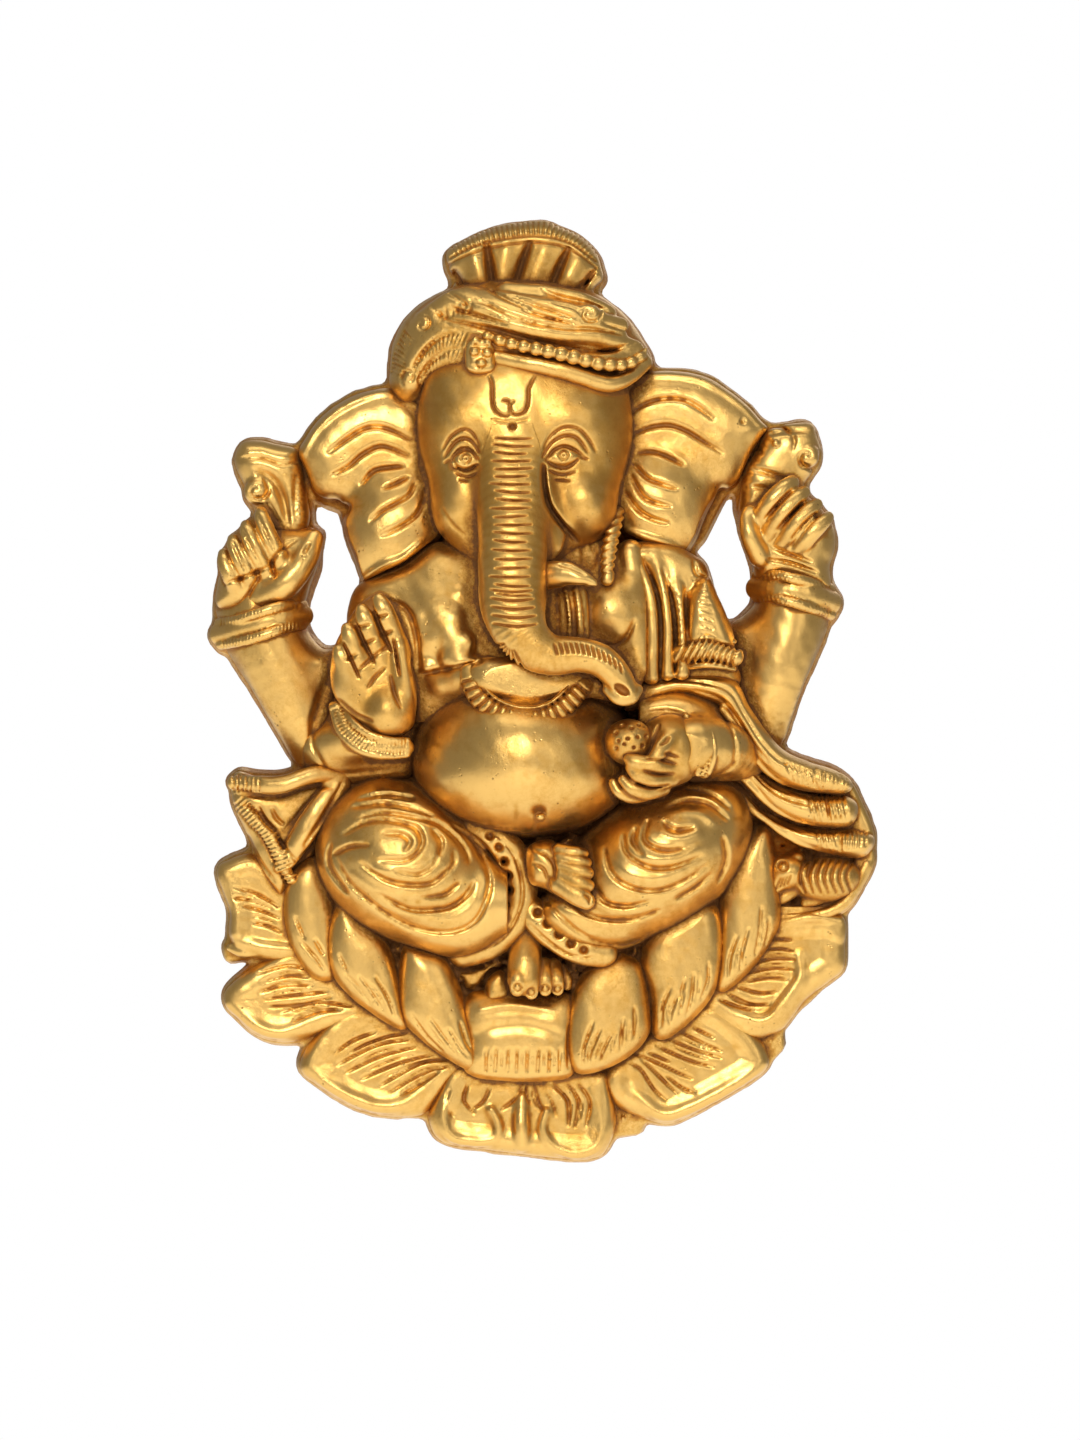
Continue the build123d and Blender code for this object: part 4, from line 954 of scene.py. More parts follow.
def shawl_left(b):
    s = region(b, [(-83.8, 105.2), (-78, 104), (-71, 104.4), (-64.6, 106.8), (-58, 106), (-52, 104.4),
                   (-55, 98), (-60, 92),
                   (-62, 84), (-67, 78), (-71.6, 71.2), (-76.4, 76), (-79.2, 82), (-80, 86), (-82, 90.4),
                   (-84.6, 96),
                   (-85.2, 101.4)])
    field = slab(b, s, 13 + 4 * dome(b, s, 8), edge=2.4)
    field = join(field, tube(b, [(-84, 102.4, 14, 2.2), (-77, 101.8, 19.6, 2.4), (-70, 102, 21.6, 2.6),
                                 (-62, 104.6, 20.6, 2.4),
                                 (-55, 104.6, 18, 2)]), 0.6)
    field = join(field, tube(b, [(-56, 102, 17, 3.4), (-61, 95.6, 19, 3.6), (-66, 87, 19, 3.4),
                                 (-70.6, 80, 17, 2.8)]), 1.2)
    border = tube(b, [(-82.4, 96.4, 14, 2), (-79, 93, 17, 2.3), (-74.5, 88, 18.4, 2.4),
                      (-71.4, 82, 18.4, 2.4),
                      (-69, 77, 16.6, 2.2)], flat=0.8)
    field = join(field, border, 0.4)
    folds = [[(-84.6, 99), (-79, 98.8), (-72, 98.4), (-64, 101), (-57, 101)],
             [(-77.6, 96), (-75.8, 92), (-73, 89.4)],
             [(-74, 95.4), (-72.6, 92.6), (-70.4, 90.8)], [(-72.4, 87.4), (-70, 84.6), (-67, 81)],
             [(-79.2, 84), (-76.6, 77.6), (-72.4, 72.4)], [(-80.6, 88), (-77.6, 81.6), (-73, 75.4)],
             [(-60.4, 101.6), (-66, 94.6), (-71, 89)], [(-58.4, 91.4), (-63.6, 84.4), (-69.4, 77.4)],
             [(-54.6, 102.6), (-59.6, 93.6), (-65, 85.4)]]
    field = lines(b, field, folds, 0.55, 0.95, 10)
    field = lines(b, field, ticks([(-83, 97), (-79, 93), (-74.5, 88), (-71.5, 82), (-68.8, 76.4)], 22, 3.8,
                                  0.1), 0.38, 0.75, 10,
                  ends=False)
    fringe = [[(-84.4 + 1.2 * i, 104.2 - 0.2 * i), (-84.2 + 1.2 * i, 100.2)] for i in range(7)]
    return lines(b, field, fringe, 0.36, 0.7, 10, ends=False)


# ------------------------------------------------------------------ legs and feet
def thigh_left(b):
    s = region(b, [(-61, 85.2), (-58, 95), (-50, 101.4), (-42.8, 103.4), (-33.3, 96.2), (-20.4, 89),
                   (-6.2, 76), (-4, 68),
                   (-10.5, 60), (-22.5, 55), (-37.6, 58.8), (-50.5, 68.6), (-58.7, 75.6)])
    field = slab(b, s, 21 + 9 * dome(b, s, 12), edge=5)
    field = join(field, ball(b, -38, 81.4, 12, 24.6, 21.6, 26.4, -26), 3)
    folds = [[(-44, 82), (-37.6, 81.9), (-34.2, 83.9), (-32.7, 86.9), (-33.9, 90), (-37, 91.6), (-43, 92.6),
              (-48.4, 91.8), (-54, 88.8)],
             [(-49, 81), (-42.8, 77), (-36.8, 75.5), (-30.7, 75.7), (-26.9, 78.3), (-24.4, 81),
              (-24.3, 84)],
             [(-28.2, 83), (-27.7, 86.9), (-30, 90)], [(-37.4, 84.6), (-36, 87), (-38.4, 88.8), (-43, 89)],
             [(-44.4, 73), (-37.6, 69.2), (-32.5, 68.4), (-25.6, 69.2), (-21.3, 72.3), (-19, 76)],
             [(-56, 82.4), (-52.3, 75.7), (-47.1, 71), (-41.9, 67.1), (-35.9, 63.9), (-28.1, 62.4),
              (-22.1, 63.4), (-18.2, 66.2),
              (-15.7, 71.4), (-14.8, 76.6), (-16.5, 81.7), (-20, 87.3), (-24.7, 90.8)],
             [(-50, 98), (-42.8, 99.2), (-35.4, 98.2)],
             [(-51.4, 96), (-44.1, 97), (-35.9, 95.7), (-30, 93.4)],
             [(-49, 93.4), (-44.1, 94.4), (-37.6, 93.7), (-29.9, 92.1), (-24.7, 88.6), (-21.3, 84.3),
              (-20.4, 81.4)],
             [(-57.6, 86), (-58, 80), (-53, 73)], [(-46.8, 85.8), (-52, 85.4), (-57, 83)],
             [(-33, 72), (-27, 72.6), (-23, 75.6)], [(-40, 79), (-34, 78.2), (-30, 80.4), (-28.6, 83)]]
    field = lines(b, field, folds, 0.75, 1.2, 14)
    swells = [[(-46, 79.6), (-38, 78.6), (-31, 79.4), (-29, 83.6)], [(-47, 95.4), (-38, 94.8), (-28, 91)],
              [(-42, 69.6), (-34, 66.2), (-26, 65.6), (-20, 69), (-17.4, 75)],
              [(-52, 78.6), (-46, 74), (-38, 72.2), (-29, 72.4)]]
    return lines(b, field, swells, 1.3, -0.5, 14)


def thigh_right(b):
    s = region(b, [(4, 76), (15.6, 88), (24.3, 93.4), (32, 97.4), (37.8, 102), (43.6, 103.8), (49, 103),
                   (53.4, 98.8), (55, 92),
                   (53.4, 85.6), (49.8, 78.6), (46.6, 72.6), (39.2, 72), (31.5, 66), (26.2, 60),
                   (21.4, 57.4), (14.7, 57),
                   (6.4, 58), (-1, 63), (-2, 70)])
    field = slab(b, s, 21 + 9 * dome(b, s, 12), edge=5)
    field = join(field, ball(b, 30, 81.6, 12, 29, 18.8, 26.4, 34), 3)
    folds = [[(27.6, 92.6), (26.5, 88), (28.6, 85.6), (32.5, 84.6), (36.6, 85.2)],
             [(20.9, 88.6), (21.4, 84.6), (24.3, 81.7), (29.1, 79.8), (34.9, 80.3), (41.6, 83)],
             [(15.9, 84.6), (17.5, 78.8), (21.4, 75.5), (27.2, 73.8), (33, 74.5), (38.8, 77.4), (43, 80.4)],
             [(7, 70.8), (11.3, 67.3), (16.6, 65.8), (23.3, 65.8), (30.4, 68.4)],
             [(-0.3, 72.1), (3.6, 67.3), (8.9, 62.5), (14.7, 59.6), (21.4, 58.8), (25.3, 60)],
             [(33, 96), (38, 97.6), (44, 96.6), (49, 92.6)], [(38, 100.6), (44, 99.6), (49.6, 95.6)],
             [(31.6, 92), (34.6, 90), (39.6, 90.6)], [(46.4, 76), (48.6, 82), (47.6, 88)],
             [(24.4, 90.4), (23.6, 87), (26, 83.4)],
             [(13, 74.6), (16.4, 70.6), (22, 69.6), (28, 71)], [(34.8, 71.4), (40, 74.4), (44.4, 78)]]
    field = lines(b, field, folds, 0.75, 1.2, 14)
    swells = [[(24, 86), (28, 82.6), (35, 82.4), (41, 85.4)], [(18.4, 82), (23, 78), (30, 76.6), (37, 79)],
              [(30, 89.6), (36, 87.6), (42, 89.4)], [(12, 71.4), (18, 68), (25, 68)],
              [(34, 94.4), (41, 94.6), (47, 90.6)]]
    return lines(b, field, swells, 1.2, -0.5, 14)


def hem_left(b):
    path = [(-22, 56.8), (-16.4, 58.6), (-11.6, 61.6), (-8.2, 66.4), (-6.6, 72), (-6.8, 77.6), (-9.2, 83),
            (-13.6, 87.6), (-19, 90.8)]
    depths = [19, 21, 22.6, 23.6, 24, 24.4, 25, 25.4, 25]
    field = tube(b, [(x, z, d - 2.4, 4.6) for (x, z), d in zip(path, depths)], flat=0.8)
    field = np.maximum(field, 6 - b.d)
    floor = slab(b, region(b, [(-36, 57.6), (-22, 54.8), (-12, 58.4), (-5.6, 66), (-4, 76), (-8, 86),
                               (-17, 92.6), (-24, 91),
                               (-18, 84), (-15, 74), (-18, 66), (-26, 62)]), 18, edge=2)
    field = join(field, floor, 1)
    holes = [(-14.8, 88.2), (-12.4, 85.2), (-10.9, 81.3), (-10.1, 77.4), (-9.8, 73.5), (-10.9, 69.6),
             (-12.1, 65.7), (-14.5, 63),
             (-17.4, 60.6), (-20.8, 59.1)]
    field = dots(b, field, holes, 1.15, 2.0)
    edges = [[(-22, 61), (-17, 63.4), (-13.8, 67.6), (-12.4, 73), (-13, 79), (-16, 85), (-20.4, 89)],
             [(-19.6, 57), (-13, 59.4), (-8.6, 64.4), (-6.2, 71), (-6.6, 78), (-9, 84), (-14, 89.6)]]
    return lines(b, field, edges, 0.5, 0.9, 12)


def hem_right(b):
    path = [(-4, 68), (-0.6, 64), (4, 60.4), (9.4, 57.6), (15.4, 56.6)]
    field = tube(b, [(x, z, d, 4.2) for (x, z), d in zip(path, [21, 22, 22, 21.6, 20])], flat=0.8)
    floor = slab(b, region(b, [(-7, 66.6), (-1.6, 60.6), (4.4, 55.6), (11, 54.2), (17, 55.8), (17, 60),
                               (10, 61.6), (3.4, 66),
                               (-2.4, 72.6)]), 17, edge=2)
    field = join(field, floor, 1)
    field = dots(b, field, [(-2, 67.5), (0.6, 64.6), (3.7, 61.7), (6.9, 59.2), (10.4, 57.4)], 1.15, 2.0)
    return lines(b, field, [[(-4.6, 65), (1, 59.6), (7, 56), (14, 55.4)],
                            [(-0.6, 69.4), (4, 64.6), (9.4, 61), (16, 59.4)]],
                 0.5, 0.8, 12)


def foot_folded(b):
    field = pad(b, [(-4.6, 85), (1.6, 87.2), (4.4, 84), (9.6, 84), (12.8, 80), (13.6, 73), (13.2, 69.4),
                    (8, 69.6), (0.2, 73.8),
                    (-4.2, 76)], 29, 3.6, 6, 3, 19)
    toes = [[(4, 75.4, 32, 3.0), (8.6, 72.6, 34, 2.9), (11, 71, 34, 2.4)],
            [(4.4, 78, 32, 2.4), (9, 76, 34, 2.2), (11.6, 75, 33.4, 1.7)],
            [(4.4, 80.4, 32, 2.2), (9, 79, 33.6, 2.0), (11.5, 78.3, 33, 1.6)],
            [(4.2, 82.6, 31.6, 2.0), (8.6, 81.6, 33, 1.8), (11, 81.1, 32.4, 1.5)],
            [(3.8, 84.6, 31, 1.8), (8, 84, 32.4, 1.6), (10.4, 83.6, 31.6, 1.3)]]
    for toe in toes:
        field = join(field, tube(b, toe), 0.4)
    creases = [[(-3, 84.6), (0.6, 83), (2.6, 80), (2.4, 76.6)], [(-3.4, 81), (-0.4, 79.6), (0.8, 76.6)],
               [(10.4, 72.8), (11.8, 71.8), (11.8, 70.2)]]
    return lines(b, field, creases, 0.5, 0.8, 24)


def foot_hanging(b):
    s = region(b, [(-15.8, 43.6), (-15, 50), (-10.4, 53), (-9.6, 60), (-6.6, 63.4), (-2.6, 62.6), (0, 57.4),
                   (4.6, 54), (6.6, 49),
                   (5.8, 45), (-2, 43)])
    field = slab(b, s, 13, edge=3)
    field = join(field, tube(b, [(-5.2, 60.4, 18, 4.2), (-5.4, 54, 21, 4.6), (-5.6, 49.6, 22, 4.6)]), 1.2)
    toes = [[(-5.6, 53, 21, 2.6), (-7.2, 49.6, 24.6, 2.5), (-7.4, 47, 24.4, 2.1)],
            [(-2.6, 53, 20, 2.3), (-3.5, 49, 23, 2.2), (-3.6, 45.8, 22.6, 1.8)],
            [(0, 53, 19, 2.2), (0, 49.4, 22, 2.1), (0.1, 46.6, 21.6, 1.8)],
            [(2.4, 53, 18, 2.1), (3.2, 49.4, 21, 2.0), (3.4, 46.6, 20.4, 1.7)],
            [(4, 52, 16, 1.7), (5.6, 49.6, 18, 1.6), (6, 47.4, 17.6, 1.3)]]
    for toe in toes:
        field = join(field, tube(b, toe), 0.3)
    field = join(field, pad(b, [(-16, 43.6), (-15.6, 49), (-12, 51.6), (-10, 49), (-9.6, 44.6),
                                (-12.6, 42.8)], 17, 2.6, 3, 1.6), 0.6)
    nails = [[(x + 1.1 * math.cos(a), z + 1.1 * math.sin(a)) for a in np.radians(range(0, 361, 60))]
             for x, z in ((-7.4, 47.4), (-3.6, 46), (0.1, 46.9), (3.4, 46.7))]
    return lines(b, field, nails, 0.32, 0.55, 18, ends=False)


# ------------------------------------------------------------------ mouse
def mouse(b):
    field = ball(b, 76.4, 76, 11, 9.6, 6.4, 8.4, 8)
    field = join(field, ball(b, 66, 78.2, 12.6, 5.4, 5.0, 6.6), 1.4)
    field = join(field, tube(b, [(64.6, 77, 14, 3.4), (62.4, 74.4, 14.4, 2.2), (61.6, 72.2, 14, 1.5)]), 1.2)
    field = join(field, ball(b, 68.4, 82, 13, 2.3, 1.8, 3.4), 0.5)
    for station in ([(68, 74, 12, 2.4), (65.4, 71.6, 13, 1.8), (62.8, 70.2, 12.6, 1.4)],
                    [(76, 73, 11, 3), (73.6, 70.8, 13, 1.9), (70.8, 69.8, 12.6, 1.5)],
                    [(83, 78, 9, 2.4), (85.4, 81, 10, 1.8), (84.6, 84, 10, 1.4)]):
        field = join(field, tube(b, station), 0.7)
    eye = [(64.3 + 1.2 * math.cos(a), 79.8 + 1.2 * math.sin(a)) for a in np.radians(range(0, 361, 45))]
    field = lines(b, field, [eye], 0.36, 0.7, 9, ends=False)
    fur = [[(70.6 + 2.1 * i, 81.4), (69 + 2.1 * i, 77), (70.4 + 2.1 * i, 72.4)] for i in range(7)]
    hatch = [[(62.6 + 0.9 * i, 73.4 + 0.4 * i), (63.8 + 0.9 * i, 76.6 + 0.3 * i)] for i in range(4)]
    return lines(b, field, fur + hatch, 0.4, 0.7, 9)


def mouse_ledge(b):
    s = region(b, [(62, 68.6), (61.4, 63.8), (66, 63), (74, 64.6), (81.8, 67.2), (86, 73), (89.6, 80.8),
                   (88.6, 85), (84.6, 84.4),
                   (82.6, 76), (76, 70.6), (68, 69)])
    field = slab(b, s, 12.4, edge=1.2)
    return join(field, tube(b, [(62.6, 66, 11.6, 1.6), (72, 66, 12.6, 1.6), (81, 69.4, 12.6, 1.6),
                                (87.4, 80, 11.6, 1.5)]), 0.5)


# ------------------------------------------------------------------ lotus
def petal(b, points, front, veins, crown=2.4, rims=(), width=6.0, cup=0.0, spread=1.3):
    """One lotus petal: a swelling pad with engraved veins and rolled rims."""
    s = region(b, points) - spread
    fall = np.clip(-s / width, 0, 1)
    field = slab(b, s, front + crown * dome(b, s, width) - cup * fall**2, edge=2.2)
    for rim in rims:
        field = join(field, tube(b, rim, parts=4), 1.2)
    between = []
    for one, other in zip(veins, veins[1:]):
        a, c = np.array(one, float), np.array(other, float)
        if len(a) == len(c) and 1.2 < np.linalg.norm(a - c, axis=1).mean() < 6.5:
            middle = (a + c) / 2
            between.append(middle[0] * 0.78 + middle[-1] * 0.22 + (middle - middle[0]) * 0.62)
    field = lines(b, field, between, 0.32, 0.7, GROUND + 1)
    return lines(b, field, veins, 0.4, 1.0, GROUND + 1)


def petal_inner_centre(b):
    veins = [[(x, 24), (x + 0.3, 30.6)] for x in (-16, -13.5, -10.2, -7.8, -5, -2, 1, 3.8)] + [[(6.4, 25),
        (6.2, 31), (6.6, 37)]]
    field = petal(b, [(-20.4, 24.6), (-21, 33), (-22.4, 40), (-19, 44.6), (-8, 44.8), (0, 43.4), (6, 44),
                      (8, 38), (7.4, 29),
                      (5.6, 23.4), (-8, 22.8)], 16, veins, 5, width=10)
    field = lines(b, field, [[(-19, 34), (-12, 36.6), (-3, 36.4), (5, 34)]], 1.8, 0.5, 12)
    return lines(b, field, [[(-18, 41), (-9, 42.6), (2, 41)], [(-19, 23.8), (-8, 22.6), (6, 23.6)]], 1.2,
                 -0.7, 12)


def petal_inner_left_1(b):
    return petal(b, [(-37.4, 57.8), (-37.4, 57.8), (-38.5, 49.8), (-38, 39.5), (-33, 34), (-26.5, 29),
                     (-19.6, 25.8), (-20, 33), (-22, 40),
                     (-24.6, 48), (-29, 55.6)], 17,
                 [[(-26, 36), (-23, 31), (-20.6, 28)], [(-31, 39), (-27, 33.4), (-23.6, 29)],
                  [(-36, 40), (-32, 34), (-27.6, 29.8)],
                  [(-23, 38), (-21.4, 33), (-20, 30)]], 5, width=8)


def petal_inner_left_2(b):
    return petal(b, [(-54.8, 70.8), (-54.8, 70.8), (-57.7, 62.3), (-57.2, 52.4), (-52.4, 45.7), (-45, 40),
                     (-38.4, 36.6), (-38.8, 42),
                     (-41, 51), (-44.8, 60)], 16,
                 [[(-54, 51), (-50, 46.6), (-47, 42.4)], [(-50, 50), (-46.4, 45), (-43.4, 40.4)],
                  [(-46, 50), (-42.6, 44.6), (-40.6, 39)],
                  [(-55.6, 56), (-53.4, 51)]], 5, width=8)


def petal_inner_left_3(b):
    return petal(b, [(-69.2, 74.6), (-69.7, 65.6), (-67.3, 57.2), (-62.5, 50.4), (-57.6, 50.2), (-57.4, 56),
                     (-57.5, 65), (-59.2, 74.6),
                     (-62.4, 80.8), (-67, 79)], 14,
                 [[(-66.4, 60), (-62, 55), (-59.6, 51.4)], [(-62.4, 60), (-59.8, 55.6)],
                  [(-67.6, 66), (-65, 60)]], 4, width=7)


def petal_inner_right_1(b):
    return petal(b, [(20.6, 55.2), (20.6, 55.2), (14, 53), (9.5, 47.5), (6.9, 38.5), (6.9, 29.2),
                     (10, 24.6), (20, 27.8), (27, 34.6), (27, 44),
                     (24.9, 52.6)], 17,
                 [[(13, 38), (10.6, 31), (10.4, 25.8)], [(15, 36), (12.4, 30), (11.8, 26)],
                  [(18.2, 35), (15.6, 30), (15, 27)],
                  [(21.2, 39), (20.6, 34), (20.4, 30)], [(24, 42), (24.2, 38), (23.8, 33)]], 5, width=8)


def petal_inner_right_2(b):
    return petal(b, [(40, 70.6), (40, 70.6), (33, 66), (28.7, 60.3), (27, 53), (29.3, 45.1), (30.6, 34.2),
                     (37.2, 37.2), (44.8, 46),
                     (47.2, 56.8), (46, 67.6)], 16,
                 [[(33.8, 47), (31.8, 42), (31.4, 36)], [(36.3, 46), (34.2, 41), (33.6, 37)],
                  [(40, 51), (39.6, 45), (38.2, 39.4)],
                  [(44, 54), (44, 49), (42, 43.4)], [(37.6, 49), (36.4, 44)]], 5, width=8)


def petal_inner_right_3(b):
    return petal(b, [(60, 90.4), (60, 90.4), (54, 86), (50, 79.6), (48, 68.5), (47.4, 57), (47.4, 46.6),
                     (54.7, 51.8), (60.6, 60.1),
                     (62.8, 66), (61.9, 80.2)], 14,
                 [[(52, 61), (50, 55), (49.6, 49.6)], [(55, 63), (53.4, 57), (52.8, 51.4)],
                  [(58.5, 69), (58, 62), (56.8, 55.6)],
                  [(60.5, 66), (60.4, 62), (59.4, 58)]], 5, width=8)


def petal_outer_centre(b):
    field = petal(b, [(-23.6, 25.6), (-28, 18), (-30.4, 11.6), (-27.6, 5.8), (-19.8, 4.2), (-5.8, 2.4),
                      (7.1, 1), (12.6, 1.2), (15.6, 3),
                      (18, 9.6), (17, 18.8), (14.6, 24), (0, 26), (-12, 26.4)], 11,
                  [[(-26, 19), (-26.6, 15), (-25, 11.6)], [(-15, 19.6), (-17, 15.6), (-20, 13.6)],
                   [(-6, 21), (-8, 16.6), (-12, 13.6)],
                   [(-5, 20.6), (-5.2, 18), (-4, 15)], [(-3, 20.5), (-1.5, 15), (1, 11)],
                   [(2, 20.4), (6, 16), (6.4, 9)],
                   [(6, 20.6), (9, 16), (8, 8.6)], [(9, 20.6), (12.2, 15.6), (11, 8.6)],
                   [(-21, 20.6), (-22, 16), (-19, 12.4)]],
                  3.2, width=7, cup=1.6)
    rims = [[(-22, 22, 11, 1.3), (-27.4, 13, 12.4, 1.4), (-26, 6.8, 12.6, 1.5), (-19.6, 5, 12.4, 1.5),
             (-14, 5.4, 12.4, 1.4),
             (-12.6, 9, 12.6, 1.3), (-14.6, 13.4, 12.4, 1.2)],
            [(0.4, 13, 12.4, 1.2), (-0.6, 8, 12.6, 1.3), (2.4, 3.4, 12.6, 1.4), (9, 1.6, 12.4, 1.5),
             (14.4, 4, 12.4, 1.4),
             (15.4, 11, 12, 1.3), (12.4, 19, 11.4, 1.3)]]
    for rim in rims:
        field = join(field, tube(b, rim, parts=4), 0.8)
    return join(field, tube(b, [(-6.4, 17, 11.6, 1.4), (-6.4, 10, 13, 2.1), (-6.2, 4, 12.4, 1.9)]), 1.2)


def petal_outer_left_1(b):
    return petal(b, [(-65.4, 25.6), (-61, 20.8), (-53.1, 15.6), (-44.9, 13.1), (-37.7, 12.6), (-32.4, 14),
                     (-27, 21), (-21, 27),
                     (-27, 33), (-38, 40), (-49.8, 42), (-59, 36)], 11,
                 [[(-57, 29), (-52, 32.4), (-46, 34.6)], [(-56.6, 25.6), (-46, 31), (-37, 32.6)],
                  [(-54, 23.6), (-45, 28), (-35, 30.6)],
                  [(-50, 21.8), (-40, 26), (-30, 28.6)], [(-45, 20), (-34, 26), (-25.4, 27.4)],
                  [(-42, 18.4), (-33, 23.4), (-26, 25.4)],
                  [(-39, 17.4), (-33, 21), (-28.6, 24)], [(-52, 29.4), (-44, 33), (-37, 34.4)]], 3, width=7,
                 rims=[[(-64, 25, 11.4, 1.2), (-59, 20.6, 12.2, 1.6), (-52, 16.6, 12.4, 1.8),
                        (-45, 14.4, 12.4, 1.8), (-38.6, 15, 12.2, 1.7),
                        (-34, 18.4, 11.6, 1.4)]], cup=1.2)


def petal_outer_left_2(b):
    return petal(b, [(-85.8, 42), (-83, 39.2), (-78.4, 34.8), (-72.4, 33), (-66.6, 33.4), (-58, 36),
                     (-46, 40), (-50, 49), (-58, 56),
                     (-66, 58), (-75, 53.4), (-85, 46)], 11,
                 [[(-78, 50.6), (-70, 52.6), (-64.6, 51.6)], [(-77, 48), (-70, 49.8), (-64, 49.6)],
                  [(-78, 45.4), (-70, 47.4), (-63, 47)],
                  [(-76, 43.6), (-68, 44.6), (-59, 45.6)], [(-72, 40), (-62, 42.6), (-52, 41.6)],
                  [(-68.6, 37.4), (-62, 40), (-55, 40.6)],
                  [(-75, 41.6), (-66, 42), (-58, 44)]], 3, width=7,
                 rims=[[(-85.4, 42.4, 11.2, 1.2), (-82, 39.4, 12, 1.5), (-77.6, 36, 12.4, 1.7),
                        (-72, 34.4, 12.4, 1.7), (-66.4, 36, 12, 1.6),
                        (-58, 39.6, 11.4, 1.3)]], cup=1.2)


def petal_outer_left_3(b):
    field = petal(b, [(-88, 77.4), (-84.6, 67.4), (-84.6, 60.6), (-80, 56), (-67.1, 54), (-63, 60),
                      (-66, 70), (-72, 78), (-79.4, 81.6),
                      (-85.6, 80)], 11,
                  [[(-84.5, 74), (-78, 72), (-72, 68.5)], [(-82.4, 69), (-77, 67.6), (-72, 65.5)],
                   [(-79.6, 64.4), (-75, 63.4), (-71.4, 61.7)],
                   [(-81, 73.4), (-75.5, 71)], [(-84.6, 71), (-80, 70.6)]], 3, width=6,
                  rims=[[(-87.4, 77, 11, 1.1), (-84, 68, 12, 1.3), (-83.6, 61.4, 12, 1.4)],
                        [(-83, 59, 11.6, 1.3), (-75, 57.4, 12.4, 1.6),
                        (-67, 56.8, 12, 1.4)]], cup=1.0)
    return join(field, tube(b, [(-85.6, 57.4, 10.4, 1.1), (-82.4, 56.2, 11.2, 1.4), (-79, 56, 11.2, 1.3)]),
                0.8)


def petal_outer_right_1(b):
    return petal(b, [(17, 22.2), (19.4, 16), (25, 13), (31.2, 11), (35.5, 11), (45.4, 16.2), (55.4, 22),
                     (59.6, 26),
                     (58, 31), (54, 36), (48, 41), (40, 42), (30, 35), (20.6, 28)], 11,
                 [[(22.6, 26.4), (26, 24.4), (29.6, 19), (33, 16)], [(26, 27.4), (31, 22.6), (36, 17.6)],
                  [(22.4, 29.4), (30, 26.5), (36, 23.6), (40, 22)],
                  [(30, 31), (39, 27), (46, 25)], [(33, 33), (40, 30), (48, 27.6)],
                  [(36, 35), (42, 32), (48, 29.4)],
                  [(33, 22.6), (37, 19.6), (41, 18)], [(28, 29), (34, 26.4)], [(40, 36), (46, 33)]], 3,
                 width=7,
                 rims=[[(23.4, 19.6, 11.4, 1.3), (28, 14.4, 12.2, 1.6), (33, 12.2, 12.4, 1.8),
                        (39, 14, 12.4, 1.8), (47, 18, 12.4, 1.8),
                        (55, 22.8, 12.2, 1.6), (58.6, 26, 11.4, 1.2)]], cup=1.2)


def petal_outer_right_2(b):
    field = petal(b, [(43, 42), (48, 36), (55, 33.4), (60.5, 34.6), (64.4, 36.8), (70, 44), (77.4, 49.8),
                      (80, 52), (80.4, 57.3),
                      (80, 65), (75, 69), (62, 69), (53, 62), (46, 52)], 11,
                  [[(60, 57), (64, 57.2), (67.4, 56.6)], [(56, 53), (62, 54.6), (68, 54.4)],
                   [(54.6, 50.6), (62, 52), (67.4, 51.6)],
                   [(55, 48.4), (61, 49.4), (66, 48.8)], [(49, 45.4), (55.6, 42.2), (61, 42.2)],
                   [(47, 43.6), (52, 41.6), (57, 40.4)],
                   [(52, 47), (58, 45.2), (63, 45.6)], [(60, 60), (67, 59.6)]], 3, width=7,
                  rims=[[(47, 42, 11.4, 1.2), (53, 38.8, 12, 1.5), (60, 37.6, 12.4, 1.7),
                         (65.4, 43, 12.4, 1.8), (69.4, 49.4, 12.2, 1.6),
                         (69, 55.4, 11.8, 1.4)]], cup=1.2)
    upper = pad(b, [(63, 61), (67, 59.4), (75, 59.6), (80.6, 58), (81.4, 65), (74, 67.6), (64, 66.4)], 12,
                1.6, 4, 1.4)
    field = join(field, upper, 0.6)
    return join(field, tube(b, [(62, 63.6, 12, 1.2), (72, 65.6, 13.2, 1.5), (80, 64.6, 12, 1.3)]), 0.6)


# ------------------------------------------------------------------ meshes
def surface(b, field):
    """Closed mesh of a field's zero surface: points in mm (x, d, z) and faces."""
    grid = vdb.FloatGrid(3.0)
    grid.copyFromArray(np.clip(field, -3, 3).astype(np.float32), tolerance=1e-6)
    points, quads = grid.convertToQuads(isovalue=0.0)
    return b.low + b.step * points, quads


def build(name, points, faces):
    """A smooth-shaded object from points in mm."""
    mesh = bpy.data.meshes.new(name)
    mesh.vertices.add(len(points))
    place = np.column_stack([points[:, 0], -points[:, 1], points[:, 2] + FOOT_Z]) * MM
    mesh.vertices.foreach_set("co", place.astype(np.float32).ravel())
    size = faces.shape[1]
    mesh.loops.add(faces.size)
    mesh.loops.foreach_set("vertex_index", faces.astype(np.int32).ravel())
    mesh.polygons.add(len(faces))
    mesh.polygons.foreach_set("loop_start", np.arange(0, faces.size, size, dtype=np.int32))
    mesh.polygons.foreach_set("use_smooth", np.ones(len(faces), bool))
    mesh.update(calc_edges=True)
    piece = bpy.data.objects.new(name, mesh)
    bpy.context.scene.collection.objects.link(piece)
    return piece


